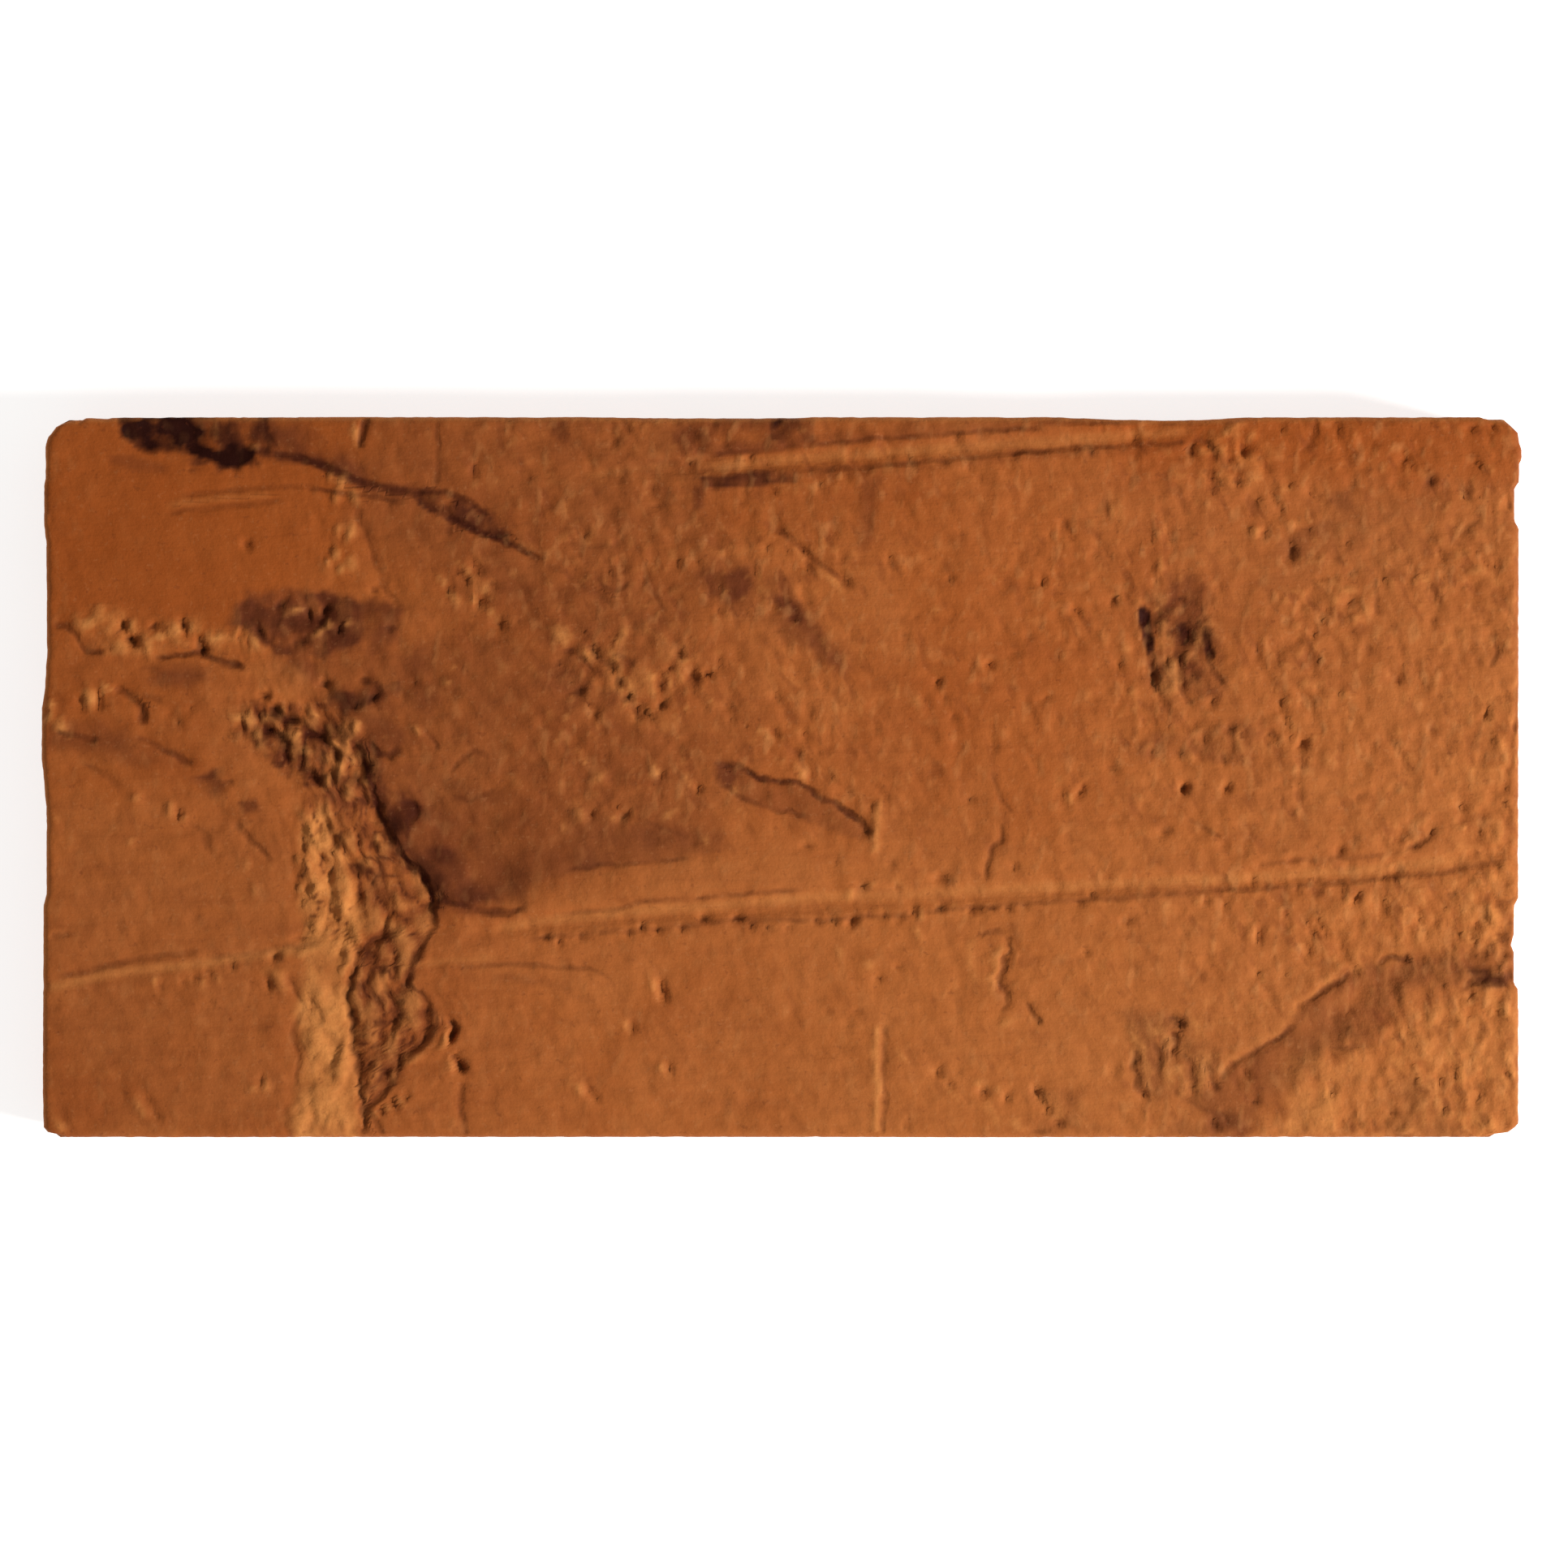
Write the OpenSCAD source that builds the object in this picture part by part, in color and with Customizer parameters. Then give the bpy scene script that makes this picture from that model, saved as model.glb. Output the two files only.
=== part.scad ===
// Handmade terracotta wall tile, fired as one solid piece.
// It lies on its flat back with the struck face up: X along the length, Y across it, Z out of the face.
// The origin is the middle of the back. Millimetres.

/* [Tile] */
// Length of the tile, along X
tile_l = 203; // [150:1:305]
// Width of the tile, along Y
tile_w = 98.8; // [73:0.2:150]
// Thickness, from the flat back to the mean level of the face
tile_t = 12.5; // [9:0.5:20]

/* [Edges] */
// Radius that wear has given the arris round the face
arris_r = 1.1; // [0.5:0.1:2]
// Chamfer round the back
back_chamfer = 0.5; // [0.2:0.1:1]
// Unevenness of the hand-cut outline: 0 gives a true rectangle, 1 the real outline
ragged = 1; // [0:0.1:1.2]

/* [Struck face] */
// Height of the slow waves that striking by hand left in the face
wave_h = 0.35; // [0:0.05:0.8]
// Depth of the two long drag grooves
groove_d = 0.6; // [0:0.1:1.2]
// Width of the drag grooves
groove_w = 3.3; // [2:0.1:4]
// Depth of the torn fold that runs across the tile
fold_d = 1.5; // [0:0.1:2.5]
// Depth of the shallow pockets where clay did not fill the mould
pocket_d = 0.8; // [0:0.1:1.5]

/* [Hidden] */

// The outline and the relief are laid out on a tile of this size, then scaled to the size above.
L0 = 203;
W0 = 98.8;
HX = L0 / 2;
HY = W0 / 2;
sx = tile_l / L0;
sy = tile_w / W0;

// How far each hand-cut edge lies inside the nominal rectangle, as [place along the edge, inset].
left_inset = [
    [-49.4, 2.6], [-48.9, 1.9], [-48.7, 0.8], [-48, 0.25], [-42.7, 0.15],
    [-17.4, 0.3], [-16.1, 0.7], [-5.4, 0.7], [0, 0.3], [2.6, 0], [9.3, 0],
    [11.9, 0.4], [17.3, 0.7], [32, 0.6], [34.6, 0.3], [40, 0.3], [41, 0.5],
    [45.5, 0.5], [46.6, 0.8], [47.3, 1.4], [48.1, 2], [48.5, 2.8], [49, 3.7]
];
right_inset = [
    [-49.4, 4.3], [-48.9, 3.5], [-48.7, 1.7], [-47.7, 0.4], [-29.1, 0.4],
    [-28.3, 1], [-24.1, 1], [-23.1, 1.4], [-21.5, 1], [-17.7, 1], [-16.6, 0.4],
    [34.2, 0.4], [35.1, 1], [39.6, 1], [40.4, 0.4], [42.9, 0.3], [43.6, 0],
    [44.9, 0], [45.8, 0.3], [47.2, 0.5], [48.3, 1.6], [49, 2.4], [49.4, 4.3]
];
top_inset = [
    [-97.8, 0.4], [-96.9, 0.4], [-95.5, 0.1], [-92.4, 0.2], [-91.8, 0],
    [-25, 0], [-17, 0.15], [-3, 0.2], [5, 0], [38, 0], [46, 0.35], [55, 0.45],
    [60, 0.2], [64, 0], [97, 0], [98.2, 0.3], [99, 0.3]
];
bottom_inset = [[-98.9, 0], [97, 0]];

// Where the two drag grooves run, as [place along the tile, place across it].
lower_groove = [
    [-101.5, -28.6], [-90, -27], [-74, -24.7], [-59, -22.7], [-40, -20.6],
    [-20, -18.6], [4, -17.3], [24, -16.2], [42, -14.9], [61, -14.1],
    [80, -12.9], [95, -11], [101.5, -10.8]
];
upper_groove = [
    [-101.5, 41], [-40, 41], [-25, 41.3], [-12, 42.7], [4, 43.8],
    [37.4, 46], [50, 47.2], [57, 47.6], [64, 47.2], [78, 45], [101.5, 44]
];
// The fold lies between a slope on the left and a steep torn wall on the right: [place across the tile, place along it].
fold_left = [
    [-49.4, -67.2], [-38, -66.3], [-27, -65.7], [-16, -65.7], [-6, -64.8],
    [0, -68], [7, -73.5], [49.4, -73.5]
];
fold_wall = [
    [-49.4, -57], [-45.8, -56.4], [-44.2, -55], [-41.4, -52.7], [-38.3, -51.2],
    [-35.9, -48.3], [-33.6, -47.2], [-30.8, -48.6], [-28.9, -51], [-26.2, -50.7],
    [-24.3, -49.6], [-20.4, -47.6], [-16.5, -47.6], [-14.2, -48.8], [-10.6, -52.2],
    [-7.8, -53.8], [-2.8, -55.2], [-0.5, -57.1], [3.1, -57.3], [5.7, -58.1],
    [8.5, -60.7], [10.8, -62], [49.4, -62]
];

// How strong each mark is along its run: 0 is flush with the face, 1 is full depth.
lower_strength = [
    [-101.5, 0.5], [-62, 0.4], [-56, 0], [-44, 0], [-36, 0.9], [60, 1],
    [85, 0.8], [101.5, 0.5]
];
upper_strength = [[-34, 0], [-14, 0.9], [30, 1], [52, 0.8], [62, 0]];
fold_strength = [[-49.4, 0.8], [-30, 1], [-5, 1], [4, 0.8], [11, 0.5], [17, 0]];

// Section of the fold, as [distance inwards from its left side, share] and [distance from its wall, share].
slope_section = [[-2.5, 0], [0, 0.5], [2.5, 0.9], [6, 0.8], [9, 1]];
wall_section = [[-2.6, 0], [-0.5, 0.15], [0.5, 0.9], [1.5, 1], [2.9, 0.6], [5, 0.55]];

// Shallow pockets: [x, y, half length, half width, turn in degrees, share of the depth].
pockets = [
    [-81, 47.5, 9.5, 4.2, -8, 1],
    [-64, 23, 8, 4.5, -4, 0.8],
    [-64, 8, 8, 3.5, -30, 0.9],
    [-44, -8, 12, 7, -50, 0.5],
    [54, 19.5, 5, 6.5, 8, 0.9],
    [7, -1, 11, 2.2, -20, 0.5],
    [-77, -6, 7, 3, -12, 0.4],
    [80, -30, 20, 3.6, 37, 0.7],
    [101, -29, 5, 2.5, 0, 0.6],
    [-38, -13, 5, 4, 20, 0.5]
];

// Nominal places of the grid lines. They lie close together along the edges, the grooves and the fold.
FL = -66;
FW = -51;
GL = -10.8;
GU = 44;
edge_steps = [0, 0.35, 0.9, 1.8, 3.2];
xs = concat(
    [for (e = edge_steps) -HX + e],
    [for (k = [1 : 6]) -HX + 3.2 + k * (FL - 2.5 + HX - 3.2) / 7],
    [for (e = [-2.5, 0, 2.5]) FL + e],
    [for (k = [1 : 2]) FL + 2.5 + k * (FW - FL - 7.5) / 3],
    [for (e = [-5, -2.9, -1.5, -0.5, 0.5, 2.6]) FW + e],
    [for (k = [1 : 31]) FW + 2.6 + k * (HX - 3.2 - FW - 2.6) / 32],
    [for (k = [4 : -1 : 0]) HX - edge_steps[k]]
);
ys = concat(
    [for (e = edge_steps) -HY + e],
    [-44, -41, -38.5, -36, -33.5, -31, -29.1, -28.3, -26, -24.1, -23.1, -21.5, -19.5, -17.7, -16.6],
    [for (e = [-2.8, -1.9, -1.2, -0.6, 0, 0.6, 1.2, 1.9, 2.8]) GL + e],
    [-5.5, -3, -0.5, 2, 4.5, 7, 9.5, 12, 14.5, 18, 22.5, 27, 31, 34.2, 35.1, 37.4, 39.6, 40.4],
    [for (e = [-2.8, -1.9, -1.2, -0.6, 0]) GU + e],
    [for (f = [0.12, 0.25, 0.4, 0.6, 0.75, 0.86, 0.945, 1]) GU + f * (HY - GU)]
);
nx = len(xs);
ny = len(ys);

function left_x(y) = -HX + ragged * lookup(y, left_inset);
function right_x(y) = HX - ragged * lookup(y, right_inset);
function bottom_y(x) = -HY + ragged * lookup(x, bottom_inset);
function top_y(x) = HY - ragged * lookup(x, top_inset);

// The grid is bent so that its lines follow the edges, the grooves and the fold.
function grid_y(xn, yn) =
    let (a = lookup(xn, lower_groove), b = lookup(xn, upper_groove))
    lookup(yn, [
        [-HY, bottom_y(xn)], [GL - 2.8, a - 2.8], [GL + 2.8, a + 2.8],
        [GU - 2.8, b - 2.8], [GU, b], [HY, top_y(xn)]
    ]);
function grid_x(xn, y) =
    let (a = lookup(y, fold_left), b = lookup(y, fold_wall))
    lookup(xn, [
        [-HX, left_x(y)], [FL - 2.5, a - 2.5], [FL + 2.5, a + 2.5],
        [FW - 5, b - 5], [FW + 2.6, b + 2.6], [HX, right_x(y)]
    ]);

// Relief of the face, in millimetres above or below the mean level.
function waves(x, y) = wave_h * (
    0.5 * sin(360 * (x / 150 + y / 230) + 60)
    + 0.3 * sin(360 * (x / 88 - y / 97) + 130)
    + 0.2 * sin(360 * (x / 49 + y / 64) + 210)
);
function groove(across, width) =
    let (t = abs(across) / (width / 2))
    t >= 1 ? 0 : (1 - t * t) * (1 - t * t);
function grooves(x, y) = groove_d * (
    lookup(x, lower_strength)
        * groove(y - lookup(x, lower_groove), x < -50 ? groove_w * 0.6 : groove_w)
    + lookup(x, upper_strength) * groove(y - lookup(x, upper_groove), groove_w)
);
function fold(x, y) = fold_d * lookup(y, fold_strength)
    * lookup(x - lookup(y, fold_left), slope_section)
    * lookup(lookup(y, fold_wall) - x, wall_section)
    * (0.85 + 0.15 * sin(y * 41));
function pocket(x, y, p) =
    let (
        dx = x - p[0],
        dy = y - p[1],
        u = (dx * cos(p[4]) + dy * sin(p[4])) / p[2],
        v = (dy * cos(p[4]) - dx * sin(p[4])) / p[3],
        r = u * u + v * v
    )
    r >= 2.2 ? 0 : p[5] * exp(-1.4 * r) * (1 - r / 2.2);
function all_pockets(x, y, k = 0) =
    k >= len(pockets) ? 0 : pocket(x, y, pockets[k]) + all_pockets(x, y, k + 1);
function relief(x, y) =
    waves(x, y) - max(grooves(x, y) + pocket_d * all_pockets(x, y), fold(x, y));

// How far the rounded arris lies below the face, from the distances to the nearest two edges.
function drop(dx, dy) =
    let (
        a = max(0, 1 - dx / arris_r),
        b = max(0, 1 - dy / arris_r),
        m = min(1, sqrt(a * a + b * b))
    )
    arris_r * (1 - sqrt(1 - m * m));

function face_point(i, j) =
    let (
        y = grid_y(xs[i], ys[j]),
        x = grid_x(xs[i], y),
        dx = min(x - left_x(y), right_x(y) - x) * sx,
        dy = min(y - bottom_y(xs[i]), top_y(xs[i]) - y) * sy
    )
    [x * sx, y * sy, tile_t + relief(x, y) - drop(dx, dy)];

// Indices of the face's border, anticlockwise seen from above.
border = concat(
    [for (i = [0 : nx - 1]) i],
    [for (j = [1 : ny - 1]) j * nx + nx - 1],
    [for (i = [nx - 2 : -1 : 0]) (ny - 1) * nx + i],
    [for (j = [ny - 2 : -1 : 1]) j * nx]
);
nb = len(border);

module tile() {
    face = [for (j = [0 : ny - 1]) for (i = [0 : nx - 1]) face_point(i, j)];
    side = [for (k = border) [face[k][0], face[k][1], back_chamfer]];
    back = [for (k = border) [
        face[k][0] * (1 - 2 * back_chamfer / tile_l),
        face[k][1] * (1 - 2 * back_chamfer / tile_w),
        0
    ]];
    s0 = nx * ny;
    b0 = s0 + nb;
    faces = concat(
        [for (j = [0 : ny - 2]) for (i = [0 : nx - 2])
            [j * nx + i, (j + 1) * nx + i, (j + 1) * nx + i + 1]],
        [for (j = [0 : ny - 2]) for (i = [0 : nx - 2])
            [j * nx + i, (j + 1) * nx + i + 1, j * nx + i + 1]],
        [for (k = [0 : nb - 1])
            [border[k], border[(k + 1) % nb], s0 + (k + 1) % nb]],
        [for (k = [0 : nb - 1])
            [border[k], s0 + (k + 1) % nb, s0 + k]],
        [for (k = [0 : nb - 1])
            [s0 + k, s0 + (k + 1) % nb, b0 + (k + 1) % nb]],
        [for (k = [0 : nb - 1])
            [s0 + k, b0 + (k + 1) % nb, b0 + k]],
        [for (k = [0 : nb - 1])
            [b0 + k, b0 + (k + 1) % nb, b0 + nb]]
    );
    color([0.66, 0.37, 0.17])
        polyhedron(points = concat(face, side, back, [[0, 0, 0]]), faces = faces, convexity = 6);
}

tile();
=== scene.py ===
import math

import bpy
import numpy as np
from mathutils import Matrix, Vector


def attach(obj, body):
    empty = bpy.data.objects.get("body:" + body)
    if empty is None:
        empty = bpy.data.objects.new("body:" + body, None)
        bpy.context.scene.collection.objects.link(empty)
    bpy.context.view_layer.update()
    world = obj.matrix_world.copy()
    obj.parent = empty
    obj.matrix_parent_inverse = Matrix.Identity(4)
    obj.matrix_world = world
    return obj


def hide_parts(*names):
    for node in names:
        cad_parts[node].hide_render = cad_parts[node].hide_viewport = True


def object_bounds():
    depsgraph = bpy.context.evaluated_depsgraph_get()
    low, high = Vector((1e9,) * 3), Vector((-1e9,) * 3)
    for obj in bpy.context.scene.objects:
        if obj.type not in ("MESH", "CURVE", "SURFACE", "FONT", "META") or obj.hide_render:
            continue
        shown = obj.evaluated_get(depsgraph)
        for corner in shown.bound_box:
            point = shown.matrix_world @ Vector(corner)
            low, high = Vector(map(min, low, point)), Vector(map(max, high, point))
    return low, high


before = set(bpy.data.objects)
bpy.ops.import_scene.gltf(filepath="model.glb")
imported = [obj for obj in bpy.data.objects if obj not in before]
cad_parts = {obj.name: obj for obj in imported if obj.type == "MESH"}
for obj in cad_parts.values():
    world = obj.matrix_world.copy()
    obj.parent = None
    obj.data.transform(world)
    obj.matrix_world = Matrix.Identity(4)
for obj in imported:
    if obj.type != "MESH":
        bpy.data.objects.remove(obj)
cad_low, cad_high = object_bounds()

# ---------------------------------------------------------------------------
# The face is laid out in millimetres, in the part's own frame. Marks are placed
# by their place in the photograph's 1932 x 1932 frame, 9 pixels to the millimetre.
# ---------------------------------------------------------------------------
L0, W0, T0 = 203.0, 98.8, 12.5
HX, HY = L0 / 2, W0 / 2
ARRIS = 1.1
CHAMFER = 0.5
TOP = cad_high[2] * 1000 - 0.01


def P(*px):
    """Photograph pixels to millimetres."""
    return [((x - 963) / 9, (957.5 - y) / 9) for x, y in px]


def lookup(v, table):
    t = np.array(table, float)
    return np.interp(v, t[:, 0], t[:, 1])


LEFT = [
    (-49.4, 2.6), (-48.9, 1.9), (-48.7, 0.8), (-48, 0.25), (-42.7, 0.15),
    (-17.4, 0.3), (-16.1, 0.7), (-5.4, 0.7), (0, 0.3), (2.6, 0), (9.3, 0),
    (11.9, 0.4), (17.3, 0.7), (32, 0.6), (34.6, 0.3), (40, 0.3), (41, 0.5),
    (45.5, 0.5), (46.6, 0.8), (47.3, 1.4), (48.1, 2), (48.5, 2.8), (49, 3.7),
]
RIGHT = [
    (-49.4, 4.3), (-48.9, 3.5), (-48.7, 1.7), (-47.7, 0.4), (-29.1, 0.4),
    (-28.3, 1), (-24.1, 1), (-23.1, 1.4), (-21.5, 1), (-17.7, 1), (-16.6, 0.4),
    (34.2, 0.4), (35.1, 1), (39.6, 1), (40.4, 0.4), (42.9, 0.3), (43.6, 0),
    (44.9, 0), (45.8, 0.3), (47.2, 0.5), (48.3, 1.6), (49, 2.4), (49.4, 4.3),
]
TOPI = [
    (-97.8, 0.4), (-96.9, 0.4), (-95.5, 0.1), (-92.4, 0.2), (-91.8, 0),
    (-25, 0), (-17, 0.15), (-3, 0.2), (5, 0), (38, 0), (46, 0.35), (55, 0.45),
    (60, 0.2), (64, 0), (97, 0), (98.2, 0.3), (99, 0.3),
]
LOWER_GROOVE = [
    (-101.5, -28.6), (-90, -27), (-74, -24.7), (-59, -22.7), (-40, -20.6),
    (-20, -18.6), (4, -17.3), (24, -16.2), (42, -14.9), (61, -14.1),
    (80, -12.9), (95, -11), (101.5, -10.8),
]
UPPER_GROOVE = [
    (-101.5, 41), (-40, 41), (-25, 41.3), (-12, 42.7), (4, 43.8),
    (37.4, 46), (50, 47.2), (57, 47.6), (64, 47.2), (78, 45), (101.5, 44),
]
FOLD_LEFT = [
    (-49.4, -67.2), (-38, -66.3), (-27, -65.7), (-16, -65.7), (-6, -64.8),
    (0, -68), (7, -73.5), (49.4, -73.5),
]
FOLD_WALL = [
    (-49.4, -57), (-45.8, -56.4), (-44.2, -55), (-41.4, -52.7), (-38.3, -51.2),
    (-35.9, -48.3), (-33.6, -47.2), (-30.8, -48.6), (-28.9, -51), (-26.2, -50.7),
    (-24.3, -49.6), (-20.4, -47.6), (-16.5, -47.6), (-14.2, -48.8), (-10.6, -52.2),
    (-7.8, -53.8), (-2.8, -55.2), (-0.5, -57.1), (3.1, -57.3), (5.7, -58.1),
    (8.5, -60.7), (10.8, -62), (49.4, -62),
]
LOWER_STRENGTH = [
    (-101.5, 0.5), (-62, 0.4), (-56, 0), (-44, 0), (-36, 0.9), (60, 1),
    (85, 0.8), (101.5, 0.5),
]
UPPER_STRENGTH = [(-34, 0), (-14, 0.9), (30, 1), (52, 0.8), (62, 0)]
FOLD_STRENGTH = [(-49.4, 0.8), (-30, 1), (-5, 1), (4, 0.8), (11, 0.5), (17, 0)]
SLOPE_SECTION = [(-2.5, 0), (0, 0.5), (2.5, 0.9), (6, 0.8), (9, 1)]
WALL_SECTION = [(-2.6, 0), (-0.5, 0.15), (0.5, 0.9), (1.5, 1), (2.9, 0.6), (5, 0.55)]
POCKETS = [
    (-81, 47.5, 9.5, 4.2, -8, 1),
    (-64, 23, 8, 4.5, -4, 0.8),
    (-64, 8, 8, 3.5, -30, 0.9),
    (-44, -8, 12, 7, -50, 0.5),
    (54, 19.5, 5, 6.5, 8, 0.9),
    (7, -1, 11, 2.2, -20, 0.5),
    (-77, -6, 7, 3, -12, 0.4),
    (80, -30, 20, 3.6, 37, 0.7),
    (101, -29, 5, 2.5, 0, 0.6),
    (-38, -13, 5, 4, 20, 0.5),
]

# ---------------------------------------------------------------------------
# Seeded noise
# ---------------------------------------------------------------------------
_rng = np.random.default_rng(41)
_perm = _rng.permutation(256)
_perm = np.concatenate([_perm, _perm, _perm])
_ang = _rng.uniform(0, 2 * np.pi, 256)
_gx, _gy = np.cos(_ang), np.sin(_ang)


def perlin(x, y, seed=0):
    xi = np.floor(x).astype(np.int64)
    yi = np.floor(y).astype(np.int64)
    xf, yf = x - xi, y - yi
    u = xf * xf * xf * (xf * (xf * 6 - 15) + 10)
    v = yf * yf * yf * (yf * (yf * 6 - 15) + 10)
    xi, yi = xi + seed * 37, yi + seed * 59

    def corner(a, b):
        h = _perm[_perm[(xi + a) & 255] + ((yi + b) & 255)]
        return _gx[h] * (xf - a) + _gy[h] * (yf - b)

    n0 = corner(0, 0) * (1 - u) + corner(1, 0) * u
    n1 = corner(0, 1) * (1 - u) + corner(1, 1) * u
    return (n0 * (1 - v) + n1 * v) * 1.5


def fbm(x, y, wave, octaves=3, seed=0, gain=0.5):
    out, amp, k = 0, 1.0, 1.0
    for o in range(octaves):
        out = out + amp * perlin(x / wave * k + 13.7 * o, y / wave * k - 7.3 * o, seed + o)
        amp, k = amp * gain, k * 2.03
    return out


def smooth(a, b, v):
    t = np.clip((v - a) / (b - a), 0, 1)
    return t * t * (3 - 2 * t)


# ---------------------------------------------------------------------------
# Grid of the face: nominal lines, then bent to the hand-cut outline
# ---------------------------------------------------------------------------
EDGE = [0, 0.1, 0.25, 0.45, 0.7, 1.0, 1.4]
WALL = -52.0
xn = np.array(
    [-HX + e for e in EDGE]
    + list(np.arange(-HX + 1.95, -76, 0.55))
    + list(np.arange(-76, -60, 0.46))
    + list(np.arange(-60, -45, 0.36))
    + list(np.arange(-45, -38, 0.46))
    + list(np.arange(-38, HX - 1.7, 0.555))
    + [HX - e for e in reversed(EDGE)]
)
yn = np.array(
    [-HY + e for e in EDGE]
    + list(np.arange(-HY + 1.85, HY - 1.7, 0.5))
    + [HY - e for e in reversed(EDGE)]
)
NX, NY = len(xn), len(yn)
XN, YN = np.meshgrid(xn, yn)


def near(t, reach=7.0):
    """1 on the edge, 0 further in than reach."""
    q = np.clip(1 - t / reach, 0, 1)
    return q * q * (3 - 2 * q)


Y = YN - lookup(XN, TOPI) * near(HY - YN)
left_in, right_in = lookup(Y, LEFT), lookup(Y, RIGHT)
# extra fine waver of the cut edges, always inwards
left_in = left_in + 0.10 * np.abs(fbm(Y, Y * 0 + 3.1, 2.6, 3, 5))
right_in = right_in + 0.10 * np.abs(fbm(Y, Y * 0 + 8.1, 2.2, 3, 6))
# the columns bend to run along the fold's torn wall
wall_x = lookup(Y, FOLD_WALL) + 0.55 * fbm(Y, Y * 0 + 5.5, 3.0, 4, 11, 0.65) * (Y < 12)
bend = np.clip(1 - np.abs(XN - WALL) / 24, 0, 1) * (wall_x - WALL)
X = XN + bend + left_in * near(XN + HX) - right_in * near(HX - XN)
Y = Y - 0.10 * np.abs(fbm(XN, XN * 0 + 1.7, 3.2, 3, 8)) * near(HY - YN)
Y = Y + 0.10 * np.abs(fbm(XN, XN * 0 + 6.7, 3.2, 3, 9)) * near(HY + YN)
Y[0, NX // 2], Y[-1, NX // 3] = -HY, HY
dx_edge = np.minimum(X - X[:, :1], X[:, -1:] - X)
dy_edge = np.minimum(Y - Y[:1, :], Y[-1:, :] - Y)

# ---------------------------------------------------------------------------
# Relief that the CAD solid has too
# ---------------------------------------------------------------------------


def turn(deg):
    return np.sin(np.radians(deg))


waves = 0.35 * (
    0.5 * turn(360 * (X / 150 + Y / 230) + 60)
    + 0.3 * turn(360 * (X / 88 - Y / 97) + 130)
    + 0.2 * turn(360 * (X / 49 + Y / 64) + 210)
)


def groove(across, width):
    t = np.abs(across) / (width / 2)
    return np.where(t < 1, (1 - t * t) ** 2, 0)


wob = 0.18 * fbm(X, Y, 9, 2, 21)
low_across = Y - lookup(X, LOWER_GROOVE) + wob
up_across = Y - lookup(X, UPPER_GROOVE) + wob


def drag(across, width):
    """Section of a drag groove: a flat-bottomed channel with crisp lips."""
    t = np.abs(across) / (width / 2)
    return 1 - smooth(0.62, 1.0, t)


low_w = np.where(X < -50, 1.5, 3.0)
grooves = 0.34 * (
    lookup(X, LOWER_STRENGTH) * drag(low_across, low_w)
    + lookup(X, UPPER_STRENGTH) * drag(up_across, 2.9)
) + 0.16 * (
    lookup(X, LOWER_STRENGTH) * groove(low_across, low_w * 1.3)
    + lookup(X, UPPER_STRENGTH) * groove(up_across, 3.4)
)
Xw = X + 0.55 * fbm(X, Y, 4.5, 3, 31)
Yw = Y + 0.55 * fbm(X, Y, 4.5, 3, 33)
fold = (
    (1.0 - 0.42 * smooth(-17, -26, Y)) * lookup(Y, FOLD_STRENGTH) * lookup(Xw - lookup(Yw, FOLD_LEFT), SLOPE_SECTION)
    * lookup(wall_x - X, WALL_SECTION) * (0.85 + 0.15 * turn(Y * 41))
    * np.clip(0.88 + 0.45 * fbm(Y, Y * 0 + 2.2, 5.0, 3, 13), 0.45, 1.15)
)
pockets = 0 * X
for cx, cy, a, b, deg, share in POCKETS:
    c, s = math.cos(math.radians(deg)), math.sin(math.radians(deg))
    u = ((Xw - cx) * c + (Yw - cy) * s) / a
    v = ((Yw - cy) * c - (Xw - cx) * s) / b
    r = u * u + v * v
    pockets += np.where(r < 2.2, share * np.exp(-1.4 * r) * (1 - r / 2.2), 0)
H = waves - np.maximum(grooves + 0.8 * pockets, fold)

# ---------------------------------------------------------------------------
# Fine marks. H is the height; the others are masks that the clay's material reads.
# ---------------------------------------------------------------------------
STAIN = 0 * X  # purple-brown flashing, and painted shade on the lit right rim, between the lumps and beside the fold's crack
SOOT = 0 * X  # near-black: dark stain, and painted shade in pits, dents, troughs and cracks
PALE = 0 * X  # light ochre, where the clay is torn or dusty, and painted light on the rims that fall in shade
WARM = 0 * X  # saturated orange
ROUGH = 0 * X  # crumbly
# a thin dark line, painted shade in a crack or crease, is kept as the signed distance to it, so that it stays crisp
# between vertices
LINE_D, LINE_S, LINE_W = 0 * X + 4.0, 0 * X, 0 * X + 0.2


DEEP = 1.45


def window(x0, x1, y0, y1):
    i0 = max(0, np.searchsorted(xn, x0 - 13) - 1)
    i1 = min(NX, np.searchsorted(xn, x1 + 13) + 1)
    j0 = max(0, np.searchsorted(yn, y0 - 1) - 1)
    j1 = min(NY, np.searchsorted(yn, y1 + 1) + 1)
    cols = np.where((X[j0:j1, i0:i1].max(0) >= x0) & (X[j0:j1, i0:i1].min(0) <= x1))[0]
    if not len(cols):
        return slice(j0, j0), slice(i0, i0)
    return slice(j0, j1), slice(i0 + cols[0], i0 + cols[-1] + 1)


def along(points, x, y):
    """Distance to a run of points, the share of its length there, and the side (+1 to the left of its direction)."""
    best = np.full(x.shape, 1e9)
    share, side = np.zeros(x.shape), np.zeros(x.shape)
    lens = [math.dist(a, b) for a, b in zip(points, points[1:])]
    total, run = sum(lens), 0.0
    for (ax, ay), (bx, by), ln in zip(points, points[1:], lens):
        ux, uy = (bx - ax) / ln, (by - ay) / ln
        t = np.clip((x - ax) * ux + (y - ay) * uy, 0, ln)
        ex, ey = x - ax - t * ux, y - ay - t * uy
        d = np.hypot(ex, ey)
        m = d < best
        best = np.where(m, d, best)
        share = np.where(m, (run + t) / total, share)
        side = np.where(m, np.sign(ux * ey - uy * ex), side)
        run += ln
    return best, share, side


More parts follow.
